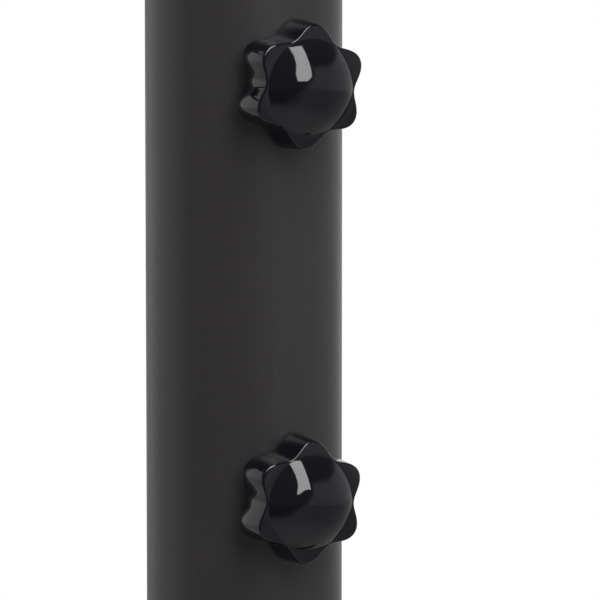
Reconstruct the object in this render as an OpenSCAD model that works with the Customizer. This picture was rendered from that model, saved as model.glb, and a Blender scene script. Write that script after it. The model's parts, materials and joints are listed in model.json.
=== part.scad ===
// Power tower: a floor base with two round uprights, and an upper frame that slides in them and is
// clamped by four star knobs. Millimetres, +Z up, front at -Y, origin on the floor under the middle.

/* [Overall] */
// Distance between the centre lines of the two uprights
track = 560; // [520:10:680]
// Length of each floor skid, without its end feet
skid_l = 1000; // [820:10:1200]
// Distance of the uprights behind the middle of the skids
upright_back = 120; // [80:5:160]
// Length of each upright, from its base flange to its top
upright_l = 880; // [730:10:1060]
// Height adjustment of the upper frame
travel = 240; // [150:10:290]
// Height of the dip arms above the top of the uprights
dip_rise = 170; // [140:5:205]
// Height of the middle of the backrest above the top of the uprights
back_rise = 440; // [420:5:530]
// Height of the neck, which carries the pull-up bar, above the top of the uprights
neck_rise = 1120; // [930:10:1350]

/* [Tubes] */
// Outer diameter of the uprights
upright_d = 60; // [56:1:72]
// Wall of the uprights
upright_wall = 2; // [1.5:0.1:2.4]
// Outer diameter of the sliding inner posts
post_d = 50; // [41:1:50]
// Wall of the inner posts
post_wall = 2; // [1.5:0.1:3]
// Outer diameter of the floor skids
skid_d = 60; // [54:1:72]
// Wall of the floor skids
skid_wall = 2; // [1.5:0.1:3]
// Outer diameter of the base crossbar
crossbar_d = 50; // [42:1:54]
// Outer diameter of the dip arms
arm_d = 38; // [32:1:45]
// Outer diameter of the pull-up bar
bar_d = 32; // [28:1:38]
// Wall of the dip arms, the pull-up bar and the base crossbar
light_wall = 2.5; // [2:0.1:3]

/* [Star knobs] */
// Diameter over the tips of the six lobes
knob_d = 38; // [36:1:46]
// Depth of each valley between two lobes
knob_valley = 3.8; // [3:0.1:4.6]
// Thickness of the lobed rim
knob_rim = 12; // [8:0.5:13]
// Height of the domed middle above the rim
dome_h = 6.2; // [4:0.2:8]
// Distance between the two knobs of one upright
knob_pitch = 125; // [104:1:150]
// Diameter of the threaded studs
stud_d = 8; // [6:0.5:8]

/* [Skids, arms and bar] */
// Distance of the push-up handles from the front end of the skids
handle_inset = 180; // [150:5:220]
// Height of the push-up handles above the skids
handle_h = 105; // [88:5:130]
// Reach of the dip arms, from the post to the hand grip
arm_reach = 520; // [460:10:600]
// Straight length of the neck in front of its bend
neck_l = 150; // [100:5:190]
// Radius of the neck bend, at the tube's centre line
neck_r = 200; // [165:5:230]
// Straight length of the pull-up bar, over the middle
bar_mid = 740; // [640:10:860]
// Radius of the bar's down-curved ends, at the tube's centre line
bar_r = 320; // [260:10:400]
// Slope that the curved ends reach, in degrees
bar_droop = 30; // [27:1:36]

/* [Pads] */
// Width of the backrest
back_w = 260; // [210:5:310]
// Height of the backrest
back_l = 420; // [350:10:500]
// Thickness of the cushion on the backrest
back_t = 50; // [40:1:60]
// Width of the arm pads
arm_pad_w = 110; // [90:5:130]
// Length of the arm pads
arm_pad_l = 260; // [220:5:310]
// Thickness of the cushions on the arm pads
arm_pad_t = 45; // [35:1:55]
// Thickness of the plywood boards
board_t = 15; // [12:1:18]

/* [Fits] */
// Radial clearance of a sliding or turning fit
fit = 0.05; // [0.02:0.01:0.1]
// Gap between a clamp pad and the inner post at rest
pad_gap = 0.3; // [0.2:0.05:0.5]

/* [Hidden] */
$fn = 64;
frame_grey = "#2b2a2b";
knob_black = "#0c0c0d";
foam_black = "#1b1b1c";
vinyl_black = "#202022";
plastic_black = "#19191a";
zinc = "#b9bcc0";
plywood = "#c9a878";
nylon = "#e6e2d6";

// Plates, welds and small clearances
plate_t = 6;            // every flange and seat plate
sole_t = 4;             // rubber under each end foot
cap_wall = 6;           // moulded wall of an end foot
cap_grip = 62;          // length of skid tube inside an end foot
cap_end = 12;           // closed end of an end foot
seat_lift = 1;          // how far a seat plate's underside lies below the tube's top
gusset_t = 5;
gusset_h = 70;
hole_play = 0.5;        // radial play of a bolt in its hole
weld = 1;               // how deep a welded-on piece starts inside its tube

// Heights and places that several pieces share
skid_z = sole_t + cap_wall + skid_d / 2;
seat_z = skid_z + skid_d / 2 - seat_lift + plate_t;
upright_top = seat_z + upright_l;
knob_top_gap = 55;
knob_zs = [upright_top - knob_top_gap, upright_top - knob_top_gap - knob_pitch];
knob_turns = [6.5, 4];  // how far each knob's top lobe leans at rest, in degrees
post_front = upright_back - post_d / 2;
post_rear = upright_back + post_d / 2;

// Bushings, collars and the overlap of post and upright
upright_in_d = upright_d - 2 * upright_wall;
bush_l = knob_pitch + knob_top_gap + 20;
bush_rim_t = 5;
bush_rim_d = upright_d + 4;
collar_l = 40;
collar_lip = 5;
collar_spare = 10;      // left between collar and bushing at full height
post_in = travel + bush_l + collar_l + collar_spare;
post_bottom = upright_top - post_in;

// Fasteners: [shank, head and nut across flats, head height, nut height]
m10 = [10, 16, 6.4, 8.4];
m8 = [8, 13, 5.3, 6.8];
bolt_tail = 3;
screw_d = 6;
screw_head_d = 12;
screw_head_h = 3.3;
tnut_rim_d = 19;
tnut_rim_t = 1.5;
tnut_barrel_d = 8;

// Base flanges of the uprights
base_plate = [110, 120];
base_bolt = [84, 84];

// Push-up handles
handle_y = -skid_l / 2 + handle_inset;
handle_d = 25;
handle_wall = 2;
handle_span = 160;
handle_r = 30;
handle_plate = [100, 225];
handle_plate_t = 5;
handle_bolt = [74, 116];
handle_z = seat_z + handle_plate_t;

// Base crossbar between the skids
crossbar_inset = 180;
crossbar_y = skid_l / 2 - crossbar_inset;
crossbar_off = 70;      // from a skid's centre line to the joint of its flanges
crossbar_flange = [104, 64];
crossbar_bolt = 74;

// Clamp inserts, studs and pads
insert_d = stud_d + 3;
insert_rim_d = stud_d + 8;
insert_rim_t = 1.7;
insert_inner = 1.0;     // between the post and the insert's inner end
pad_d = stud_d - 0.6;
pad_l = 3;
nose_d = stud_d / 2;
nose_l = 2;
nose_end_play = 0.1;
knob_gap = 1.2;         // between a knob's lobes and its upright
knob_back = upright_d / 2 + knob_gap;
recess_d = insert_rim_d + 3;
recess_l = insert_rim_t - knob_gap + 0.9;   // room behind the knob for the insert's rim
stud_in_knob = 10;
dome_margin = 0.9;      // between the dome's foot and the bottom of a valley
pad_tip = post_d / 2 + pad_gap;

// Saddle spacers and the bolts through the posts
spacer_t = 8;
spacer_w = 44;
spacer_wrap = 10;
rear_washer_t = 4;
rear_washer_d = 24;
post_bolt_d = m8[0];

// Backrest crossbars
rail_h = 50;
rail_t = 25;
rail_wall = 2;
rail_over = 32;         // reach of a crossbar past the post's centre line
rail_half = track / 2 + rail_over;
rail_split = min(260, back_l - 130);
back_z = upright_top + back_rise;
rail_zs = [back_z + rail_split / 2, back_z - rail_split / 2];
rail_front = post_front - spacer_t - rail_t;
back_screw_x = 70;

// Dip arms
arm_z = upright_top + dip_rise;
arm_plate = [60, 132];
arm_bolt = 92;
arm_bolt_zs = [arm_z - arm_bolt / 2, arm_z + arm_bolt / 2];
post_bolt_zs = concat(arm_bolt_zs, rail_zs);
arm_r = 70;
arm_up = 128;
arm_plate_front = post_front - spacer_t - plate_t;
arm_bend_y = upright_back - arm_reach + arm_r;
pad_seat = [60, 40];
pad_seat_t = 5;
arm_pad_gap = 50;       // from the arm's flange to the arm pad
arm_pad_rear = arm_plate_front - arm_pad_gap;
arm_board_z = arm_z + arm_d / 2 - seat_lift + pad_seat_t;
arm_screw_x = 44;
pad_seat_inset = 60;
pad_seat_ys = [arm_pad_rear - pad_seat_inset, arm_pad_rear - arm_pad_l + pad_seat_inset];
grip_foam = 5;
dip_grip_l = 112;

// Neck and pull-up bar
neck_z = upright_top + neck_rise;
neck_end = upright_back - neck_r - neck_l;
neck_plate = [96, 96];
neck_bolt = [64, 64];
bar_y = neck_end - 2 * plate_t - bar_d / 2 + weld;
bar_grip_turn = 22;     // degrees of each curved end inside its grip
bar_grip_gap = 1;       // degrees between a grip and the bar's end
plug_t = 6;
plug_deep = 15;
plug_over = 1.5;        // how far a plug's rim stands over its tube
plug_play = 0.5;        // radial play of a plug's stem in its tube

// ---- shared shapes ----

// Puts a right-hand shape at the right (side 1) or mirrored at the left (side -1)
module at_side(side) {
  mirror([side < 0 ? 1 : 0, 0, 0]) translate([track / 2, 0, 0]) children();
}

module both_sides() {
  for (side = [-1, 1]) at_side(side) children();
}

// Solid round bars along each axis, between two places
module rod_z(d, z0, z1) {
  translate([0, 0, z0]) cylinder(d = d, h = z1 - z0);
}

module rod_y(d, y0, y1) {
  translate([0, y0, 0]) rotate([-90, 0, 0]) cylinder(d = d, h = y1 - y0);
}

module rod_x(d, x0, x1) {
  translate([x0, 0, 0]) rotate([0, 90, 0]) cylinder(d = d, h = x1 - x0);
}

module ring(d, wall) {
  difference() {
    circle(d = d);
    circle(d = d - 2 * wall);
  }
}

module tube_z(d, wall, z0, z1) {
  translate([0, 0, z0]) linear_extrude(z1 - z0) ring(d, wall);
}

// Part of a bent tube: it starts at radius r on +X of its own plane and turns by angle about Z
module bend(d, wall, r, angle) {
  rotate_extrude(angle = angle) translate([r, 0]) ring(d, wall);
}

// A flat plate, centred in X and Y, between z = 0 and t
module plate(size, t) {
  linear_extrude(t) rounded(size, 8);
}

module rounded(size, r) {
  square([size[0] - 2 * r, size[1]], center = true);
  square([size[0], size[1] - 2 * r], center = true);
  at_corners([size[0] - 2 * r, size[1] - 2 * r]) circle(r = r);
}

module at_corners(span) {
  for (x = [-1, 1], y = [-1, 1]) translate([x * span[0] / 2, y * span[1] / 2, 0]) children();
}

module hole_z(d, z0, z1) {
  rod_z(d + 2 * hole_play, z0, z1);
}

// Hex bolt: its head stands on z = 0 and its shank goes down through grip and nut
module bolt(size, grip) {
  shank = grip + size[3] + bolt_tail;
  hex_head(size[1], size[2]);
  translate([0, 0, -shank]) cylinder(d = size[0], h = shank);
}

module hex_head(flats, h) {
  corners = flats / cos(30);
  intersection() {
    cylinder(d = corners, h = h, $fn = 6);
    cylinder(d1 = corners + 2 * h, d2 = flats - 1, h = h + 0.01);
  }
}

// Nut below the same joint, with its face at z = -grip
module nut(size, grip) {
  translate([0, 0, -grip - size[3]]) difference() {
    cylinder(d = size[1] / cos(30), h = size[3], $fn = 6);
    translate([0, 0, -1]) cylinder(d = size[0] + 2 * fit, h = size[3] + 2);
  }
}

// ---- floor base ----

// Welded seat plate on top of a skid, with two webs down its sides
module seat(size, web_y) {
  translate([0, 0, seat_z - plate_t]) plate(size, plate_t);
  for (y = [-web_y, web_y])
    translate([-size[0] / 2 + 8, y - gusset_t / 2, skid_z])
      cube([size[0] - 16, gusset_t, seat_z - plate_t - skid_z]);
}

module floor_skid(side) {
  color(frame_grey) at_side(side) difference() {
    union() {
      translate([0, 0, skid_z]) rod_y(skid_d, -skid_l / 2, skid_l / 2);
      translate([0, upright_back, 0]) seat(base_plate, 14);
      translate([0, handle_y, 0]) seat(handle_plate, 22);
      translate([0, crossbar_y, skid_z]) rod_x(crossbar_d, -crossbar_off, 0);
      translate([-crossbar_off, crossbar_y, skid_z]) crossbar_flange_plate();
    }
    translate([0, 0, skid_z]) rod_y(skid_d - 2 * skid_wall, -skid_l / 2 - 1, skid_l / 2 + 1);
    translate([0, crossbar_y, skid_z])
      rod_x(crossbar_d - 2 * light_wall, -crossbar_off - 1, -skid_d / 2 - 1);
    translate([0, upright_back, 0]) at_corners(base_bolt) hole_z(m10[0], skid_z, seat_z + 1);
    translate([0, handle_y, 0]) at_corners(handle_bolt) hole_z(m10[0], skid_z, seat_z + 1);
    crossbar_bolt_places() hole_z(m10[0], -2 * plate_t, 2 * plate_t);
  }
}

// Flange plate whose joint face is at x = 0 and whose body is on +X
module crossbar_flange_plate() {
  rotate([90, 0, 90]) plate(crossbar_flange, plate_t);
}

// Bolt axes of one crossbar joint, with +Z turned to -X, from the joint face
module crossbar_bolt_places() {
  for (y = [-1, 1])
    translate([-crossbar_off, crossbar_y + y * crossbar_bolt / 2, skid_z]) rotate([0, -90, 0]) children();
}

module base_crossbar() {
  half = track / 2 - crossbar_off;
  color(frame_grey) difference() {
    union() {
      translate([0, crossbar_y, skid_z]) rod_x(crossbar_d, -half, half);
      both_sides() translate([-crossbar_off - plate_t, crossbar_y, skid_z]) crossbar_flange_plate();
    }
    translate([0, crossbar_y, skid_z]) rod_x(crossbar_d - 2 * light_wall, -half - 1, half + 1);
    both_sides() crossbar_bolt_places() hole_z(m10[0], -1, plate_t + 1);
  }
}

// Moulded foot over a skid's end: round above, with a flat underside for its sole
module foot(side, end) {
  base_w = skid_d;
  outer_d = skid_d + 2 * cap_wall;
  back = skid_l / 2 - cap_grip;
  color(plastic_black) at_side(side) mirror([0, end < 0 ? 1 : 0, 0]) difference() {
    translate([0, 0, skid_z]) union() {
      rod_y(outer_d, back, skid_l / 2 + cap_end);
      translate([-base_w / 2, back, -skid_d / 2 - cap_wall])
        cube([base_w, cap_grip + cap_end, skid_d / 2 + cap_wall]);
    }
    translate([0, 0, skid_z]) rod_y(skid_d, back - 1, skid_l / 2);
  }
}

module foot_soles() {
  sole = [skid_d - 4, cap_grip + cap_end - 4];
  color("black") both_sides() for (end = [-1, 1])
    translate([0, end * (skid_l / 2 + (cap_end - cap_grip) / 2), 0]) plate(sole, sole_t);
}

// ---- uprights ----

module gusset() {
  rotate([90, 0, 90]) translate([0, 0, -gusset_t / 2]) linear_extrude(gusset_t)
    polygon([[0, 0], [base_plate[1] / 2 - upright_d / 2 - 2, 0], [0, gusset_h]]);
}

module upright(side) {
  color(frame_grey) at_side(side) translate([0, upright_back, 0]) difference() {
    union() {
      rod_z(upright_d, seat_z, upright_top);
      translate([0, 0, seat_z]) plate(base_plate, plate_t);
      for (turn = [0, 180])
        rotate(turn) translate([0, upright_d / 2 - weld, seat_z + plate_t]) gusset();
    }
    rod_z(upright_in_d, seat_z - 1, upright_top + 1);
    at_corners(base_bolt) hole_z(m10[0], seat_z - 1, seat_z + plate_t + 1);
    for (z = knob_zs) translate([0, 0, z]) rod_x(insert_d + 2 * fit, 0, upright_d);
  }
}

// Flanged plastic sleeve that guides the inner post in the top of an upright
module bushing(side) {
  color(plastic_black) at_side(side) translate([0, upright_back, 0]) difference() {
    union() {
      rod_z(upright_in_d - 2 * fit, upright_top - bush_l, upright_top);
      rod_z(bush_rim_d, upright_top, upright_top + bush_rim_t);
    }
    rod_z(post_d + 2 * fit, upright_top - bush_l - 1, upright_top + bush_rim_t + 1);
    for (z = knob_zs) translate([0, 0, z]) rod_x(insert_d + 1, 0, upright_d);
  }
}

// Runs its children at each knob's axis, with +Z along the axis, out of the upright
module at_knob(side, level) {
  at_side(side) translate([0, upright_back, knob_zs[level]]) rotate([0, 90, 0]) children();
}

// Threaded inserts swaged into the uprights, with saddle-shaped rims
module clamp_inserts() {
  color(zinc) for (side = [-1, 1], level = [0, 1]) difference() {
    at_knob(side, level) rod_z(insert_rim_d, upright_d / 2 - 2, upright_d / 2 + insert_rim_t);
    at_side(side) translate([0, upright_back, 0]) rod_z(upright_d, 0, upright_top + 1);
    at_knob(side, level) rod_z(stud_d + 2 * fit, 0, upright_d);
  }
  color(zinc) for (side = [-1, 1], level = [0, 1]) at_knob(side, level) difference() {
    rod_z(insert_d, post_d / 2 + insert_inner, (upright_d + insert_rim_t) / 2);
    rod_z(stud_d + 2 * fit, 0, upright_d);
  }
}

// ---- clamp knobs ----

// Wavy outline with six lobes, the first on +X
module star() {
  steps = 144;
  mean = (knob_d - knob_valley) / 2;
  swing = knob_valley / 2;
  polygon([for (i = [0 : steps - 1]) let (a = i * 360 / steps, r = mean + swing * cos(6 * a))
    [r * cos(a), r * sin(a)]]);
}

module knob(side, level) {
  dome_r = knob_d / 2 - knob_valley - dome_margin;
  ball_r = (dome_r ^ 2 + dome_h ^ 2) / (2 * dome_h);
  front = knob_back + knob_rim;
  color(knob_black) at_knob(side, level) rotate(-knob_turns[level]) difference() {
    union() {
      translate([0, 0, knob_back]) linear_extrude(knob_rim) star();
      intersection() {
        rod_z(knob_d, front - 0.5, front + dome_h);
        translate([0, 0, front + dome_h - ball_r]) sphere(r = ball_r);
      }
    }
    rod_z(recess_d, 0, knob_back + recess_l);
    rod_z(stud_d, 0, knob_back + stud_in_knob);
  }
}

module stud(side, level) {
  color(zinc) at_knob(side, level) {
    rod_z(nose_d, pad_tip + pad_l - nose_l, pad_tip + pad_l + 0.5);
    rod_z(stud_d, pad_tip + pad_l + nose_end_play, knob_back + stud_in_knob);
  }
}

// Swivel pad that stays still on the post while the stud turns in it
module clamp_pad(side, level) {
  color(nylon) at_knob(side, level) difference() {
    rod_z(pad_d, pad_tip, pad_tip + pad_l);
    rod_z(nose_d + 2 * fit, pad_tip + pad_l - nose_l - nose_end_play, pad_tip + pad_l + 1);
  }
}

// ---- push-up handles ----

// Half of the handle bar in its own Y-Z plane: a leg, a bend and half of the grip bar
module half_handle(d, wall) {
  leg = handle_span / 2;
  top = seat_z + handle_h - handle_r;
  translate([0, leg, 0]) linear_extrude(top) ring(d, wall);
  translate([0, leg - handle_r, top]) rotate([90, 0, 90]) bend(d, wall, handle_r, 90);
  translate([0, 0, top + handle_r]) rotate([-90, 0, 0]) linear_extrude(leg - handle_r) ring(d, wall);
}

module push_up_handle(side) {
  color(frame_grey) at_side(side) translate([0, handle_y, 0]) {
    difference() {
      translate([0, 0, seat_z]) plate(handle_plate, handle_plate_t);
      at_corners(handle_bolt) hole_z(m10[0], seat_z - 1, handle_z + 1);
    }
    for (turn = [0, 180]) rotate(turn) difference() {
      half_handle(handle_d, handle_wall);
      translate([-handle_d, 0, -1]) cube([2 * handle_d, handle_span, handle_z]);
    }
  }
}

module push_up_grip(side) {
  half = handle_span / 2 - handle_r - 1;
  color(foam_black) at_side(side) translate([0, handle_y, seat_z + handle_h])
    rotate([-90, 0, 0]) translate([0, 0, -half])
      linear_extrude(2 * half) ring(handle_d + 2 * grip_foam, grip_foam);
}

// Every bolted joint of the base: children 0 is the bolt or nut for a joint with that grip
module base_joints() {
  both_sides() translate([0, upright_back, seat_z + plate_t]) at_corners(base_bolt) children(0);
  both_sides() translate([0, handle_y, handle_z]) at_corners(handle_bolt) children(1);
  both_sides() crossbar_bolt_places() translate([0, 0, plate_t]) children(0);
}

module base_bolts() {
  color(zinc) base_joints() {
    bolt(m10, 2 * plate_t);
    bolt(m10, plate_t + handle_plate_t);
  }
}

module base_nuts() {
  color(zinc) base_joints() {
    nut(m10, 2 * plate_t);
    nut(m10, plate_t + handle_plate_t);
  }
}

// ---- upper frame ----

// Bolt axes through a post at the given height, with +Z turned to the front, from the post's front
module at_post_bolt(z) {
  translate([0, post_front, z]) rotate([90, 0, 0]) children();
}

module inner_post(side) {
  bend_z = neck_z - neck_r;
  color(frame_grey) at_side(side) difference() {
    union() {
      translate([0, upright_back, 0]) tube_z(post_d, post_wall, post_bottom, bend_z);
      translate([0, upright_back - neck_r, bend_z]) rotate([90, 0, 90]) bend(post_d, post_wall, neck_r, 90);
      translate([0, neck_end, neck_z]) rotate([-90, 0, 0]) linear_extrude(neck_l) ring(post_d, post_wall);
      translate([0, neck_end, neck_z]) rotate([90, 0, 0]) plate(neck_plate, plate_t);
    }
    for (z = post_bolt_zs) at_post_bolt(z) hole_z(post_bolt_d, -post_d - 1, 1);
    translate([0, neck_end, neck_z]) rotate([90, 0, 0]) at_corners(neck_bolt)
      hole_z(m8[0], -1, plate_t + 1);
  }
}

// Cup pressed on the lower end of a post, which slides in the upright
module slider_collar(side) {
  color(plastic_black) at_side(side) translate([0, upright_back, post_bottom - collar_lip]) difference() {
    rod_z(upright_in_d - 2 * fit, 0, collar_l);
    rod_z(post_d - 2 * post_wall, -1, collar_l);
    rod_z(post_d, collar_lip, collar_l + 1);
  }
}

// Spacer block with a round hollow for the post, its flat face to the front
module front_spacer(h) {
  translate([-spacer_w / 2, post_front - spacer_t, -h / 2]) cube([spacer_w, spacer_t + spacer_wrap, h]);
}

module saddle_spacers() {
  color(plastic_black) both_sides() difference() {
    union() {
      for (z = rail_zs) translate([0, 0, z]) front_spacer(rail_h);
      translate([0, 0, arm_z]) front_spacer(arm_plate[1]);
      for (z = post_bolt_zs) translate([0, 0, z])
        rod_y(rear_washer_d, post_rear - rear_washer_t, post_rear + rear_washer_t);
    }
    translate([0, upright_back, 0]) rod_z(post_d, 0, neck_z);
    for (z = post_bolt_zs) at_post_bolt(z) hole_z(post_bolt_d, -post_d - rear_washer_t - 1, spacer_t + 1);
  }
}

module back_crossbar(level) {
  color(frame_grey) translate([0, rail_front, rail_zs[level]]) difference() {
    translate([-rail_half, 0, -rail_h / 2]) cube([2 * rail_half, rail_t, rail_h]);
    translate([-rail_half - 1, rail_wall, rail_wall - rail_h / 2])
      cube([2 * rail_half + 2, rail_t - 2 * rail_wall, rail_h - 2 * rail_wall]);
    both_sides() rod_y(post_bolt_d + 2 * hole_play, -1, rail_t + 1);
    for (x = [-back_screw_x, back_screw_x]) translate([x, 0, 0])
      rod_y(screw_d + 2 * hole_play, -1, rail_t + 1);
  }
}

module crossbar_plugs() {
  rim = 3;
  color(plastic_black) for (side = [-1, 1], z = rail_zs) mirror([side < 0 ? 1 : 0, 0, 0])
    translate([rail_half, rail_front, z - rail_h / 2]) {
      cube([rim, rail_t, rail_h]);
      translate([-plug_deep, rail_wall, rail_wall])
        cube([plug_deep + 1, rail_t - 2 * rail_wall, rail_h - 2 * rail_wall]);
    }
}

// ---- backrest and arm pads ----

// Board with a stepped hole for a T-nut at each place; its cushion side is at z = 0
module board(size, screws) {
  difference() {
    translate([0, 0, -board_t]) plate(size, board_t);
    at_corners(screws) {
      rod_z(tnut_barrel_d + 2 * fit, -board_t - 1, 1);
      rod_z(tnut_rim_d + 2 * fit, -tnut_rim_t, 1);
    }
  }
}

module cushion(size, t) {
  linear_extrude(t) rounded(size, 22);
}

// T-nut in a board, its rim flush with the cushion side at z = 0
module tnut() {
  difference() {
    union() {
      rod_z(tnut_rim_d, -tnut_rim_t, 0);
      rod_z(tnut_barrel_d, -board_t + 4, -tnut_rim_t);
    }
    rod_z(screw_d + 2 * fit, -board_t, 1);
  }
}

// Screw from behind, through steel of the given depth and a board
module pad_screw(steel) {
  seat = -board_t - steel;
  rod_z(screw_d, seat, -tnut_rim_t);
  rod_z(screw_head_d, seat - screw_head_h, seat);
}

module at_back() {
  translate([0, rail_front - board_t, back_z]) rotate([90, 0, 0]) children();
}

module at_arm_pad() {
  translate([0, arm_pad_rear - arm_pad_l / 2, arm_board_z + board_t]) children();
}

back_screws = [2 * back_screw_x, rail_split];
arm_screws = [arm_screw_x, arm_pad_l - 2 * pad_seat_inset];

module back_board() {
  color(plywood) at_back() board([back_w, back_l], back_screws);
}

module back_cushion() {
  color(vinyl_black) at_back() cushion([back_w, back_l], back_t);
}

module arm_board(side) {
  color(plywood) at_side(side) at_arm_pad() board([arm_pad_w, arm_pad_l], arm_screws);
}

module arm_cushion(side) {
  color(vinyl_black) at_side(side) at_arm_pad() cushion([arm_pad_w, arm_pad_l], arm_pad_t);
}

module pad_screws() {
  color(zinc) {
    at_back() at_corners(back_screws) pad_screw(rail_t);
    both_sides() at_arm_pad() at_corners(arm_screws) pad_screw(pad_seat_t);
  }
}

module pad_tnuts() {
  color(zinc) {
    at_back() at_corners(back_screws) tnut();
    both_sides() at_arm_pad() at_corners(arm_screws) tnut();
  }
}

// ---- dip arms ----

module dip_arm(side) {
  run = arm_plate_front + weld - arm_bend_y;
  color(frame_grey) at_side(side) difference() {
    union() {
      translate([0, arm_plate_front + plate_t, arm_z]) rotate([90, 0, 0]) plate(arm_plate, plate_t);
      translate([0, arm_bend_y, arm_z]) rotate([-90, 0, 0]) linear_extrude(run) ring(arm_d, light_wall);
      translate([0, arm_bend_y, arm_z + arm_r]) rotate([0, 90, 180]) bend(arm_d, light_wall, arm_r, 90);
      at_dip_grip() tube_z(arm_d, light_wall, 0, arm_up);
      for (y = pad_seat_ys) translate([0, y, arm_board_z - pad_seat_t]) plate(pad_seat, pad_seat_t);
    }
    for (z = arm_bolt_zs) at_post_bolt(z) hole_z(post_bolt_d, 0, spacer_t + plate_t + 1);
    at_arm_pad() at_corners(arm_screws) hole_z(screw_d, -board_t - pad_seat_t - 1, -board_t + 1);
  }
}

// The upright end of a dip arm, from the end of its bend
module at_dip_grip() {
  translate([0, arm_bend_y - arm_r, arm_z + arm_r]) children();
}

module dip_grip(side) {
  color(foam_black) at_side(side) at_dip_grip()
    tube_z(arm_d + 2 * grip_foam, grip_foam, arm_up - 4 - dip_grip_l, arm_up - 4);
}

// Round plug that closes the end of a tube, from z = 0 up
module plug(d, wall) {
  rod_z(d + 2 * plug_over, 0, plug_t);
  rod_z(d - 2 * (wall + plug_play), -plug_deep, 1);
}

module dip_arm_plugs() {
  color(plastic_black) both_sides() at_dip_grip() translate([0, 0, arm_up]) plug(arm_d, light_wall);
}

// ---- pull-up bar ----

// Runs its children at the right end of the bar, with +Z along it and outward
module at_bar_end() {
  translate([bar_mid / 2 + bar_r * sin(bar_droop), bar_y, neck_z - bar_r * (1 - cos(bar_droop))])
    rotate([0, 90 + bar_droop, 0]) children();
}

// Centre of the right end's curve, with +X up and +Y to the right
module at_bar_curve() {
  translate([bar_mid / 2, bar_y, neck_z - bar_r]) rotate([0, -90, -90]) children();
}

module mirrored_ends() {
  for (side = [-1, 1]) mirror([side < 0 ? 1 : 0, 0, 0]) children();
}

module pull_up_bar() {
  color(frame_grey) difference() {
    union() {
      translate([-bar_mid / 2, bar_y, neck_z]) rotate([0, 90, 0])
        linear_extrude(bar_mid) ring(bar_d, light_wall);
      mirrored_ends() at_bar_curve() bend(bar_d, light_wall, bar_r, bar_droop);
      both_sides() translate([0, neck_end - plate_t, neck_z]) rotate([90, 0, 0])
        plate(neck_plate, plate_t);
    }
    both_sides() at_neck_bolts() hole_z(m8[0], -plate_t - 1, 1);
  }
}

// Bolt axes of a neck joint, with +Z turned to the front, from the bar plate's front face
module at_neck_bolts() {
  translate([0, neck_end - 2 * plate_t, neck_z]) rotate([90, 0, 0]) at_corners(neck_bolt) children();
}

module pull_up_grip(side) {
  color(foam_black) mirror([side < 0 ? 1 : 0, 0, 0]) at_bar_curve()
    rotate(bar_droop - bar_grip_gap - bar_grip_turn)
      bend(bar_d + 2 * grip_foam, grip_foam, bar_r, bar_grip_turn);
}

module pull_up_bar_plugs() {
  color(plastic_black) mirrored_ends() at_bar_end() plug(bar_d, light_wall);
}

// ---- fasteners of the upper frame ----

post_depth = spacer_t + post_d + rear_washer_t;

// Children: 0 for the neck joints, 1 for the backrest crossbars, 2 for the dip arms
module frame_joints() {
  both_sides() at_neck_bolts() children(0);
  both_sides() for (z = rail_zs) at_post_bolt(z) translate([0, 0, spacer_t + rail_t]) children(1);
  both_sides() for (z = arm_bolt_zs) at_post_bolt(z) translate([0, 0, spacer_t + plate_t]) children(2);
}

module frame_bolts() {
  color(zinc) frame_joints() {
    bolt(m8, 2 * plate_t);
    bolt(m8, rail_t + post_depth);
    bolt(m8, plate_t + post_depth);
  }
}

module frame_nuts() {
  color(zinc) frame_joints() {
    nut(m8, 2 * plate_t);
    nut(m8, rail_t + post_depth);
    nut(m8, plate_t + post_depth);
  }
}

floor_skid(-1);  // left_floor_skid
floor_skid(1);  // right_floor_skid
foot(-1, -1);  // front_left_foot
foot(1, -1);  // front_right_foot
foot(-1, 1);  // rear_left_foot
foot(1, 1);  // rear_right_foot
foot_soles();
base_crossbar();
upright(-1);  // left_upright
upright(1);  // right_upright
bushing(-1);  // left_bushing
bushing(1);  // right_bushing
clamp_inserts();
push_up_handle(-1);  // left_push_up_handle
push_up_handle(1);  // right_push_up_handle
push_up_grip(-1);  // left_push_up_grip
push_up_grip(1);  // right_push_up_grip
base_bolts();
base_nuts();
knob(-1, 0);  // left_upper_knob
knob(-1, 1);  // left_lower_knob
knob(1, 0);  // right_upper_knob
knob(1, 1);  // right_lower_knob
stud(-1, 0);  // left_upper_stud
stud(-1, 1);  // left_lower_stud
stud(1, 0);  // right_upper_stud
stud(1, 1);  // right_lower_stud
clamp_pad(-1, 0);  // left_upper_clamp_pad
clamp_pad(-1, 1);  // left_lower_clamp_pad
clamp_pad(1, 0);  // right_upper_clamp_pad
clamp_pad(1, 1);  // right_lower_clamp_pad
inner_post(-1);  // left_inner_post
inner_post(1);  // right_inner_post
slider_collar(-1);  // left_slider_collar
slider_collar(1);  // right_slider_collar
back_crossbar(0);  // upper_back_crossbar
back_crossbar(1);  // lower_back_crossbar
crossbar_plugs();
saddle_spacers();
back_board();
back_cushion();
dip_arm(-1);  // left_dip_arm
dip_arm(1);  // right_dip_arm
arm_board(-1);  // left_arm_board
arm_board(1);  // right_arm_board
arm_cushion(-1);  // left_arm_cushion
arm_cushion(1);  // right_arm_cushion
dip_grip(-1);  // left_dip_grip
dip_grip(1);  // right_dip_grip
dip_arm_plugs();
pull_up_bar();
pull_up_grip(-1);  // left_pull_up_grip
pull_up_grip(1);  // right_pull_up_grip
pull_up_bar_plugs();
frame_bolts();
frame_nuts();
pad_screws();
pad_tnuts();
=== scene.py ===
import bpy
import bmesh
import json
import math
from mathutils import Matrix, Vector, noise


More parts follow.
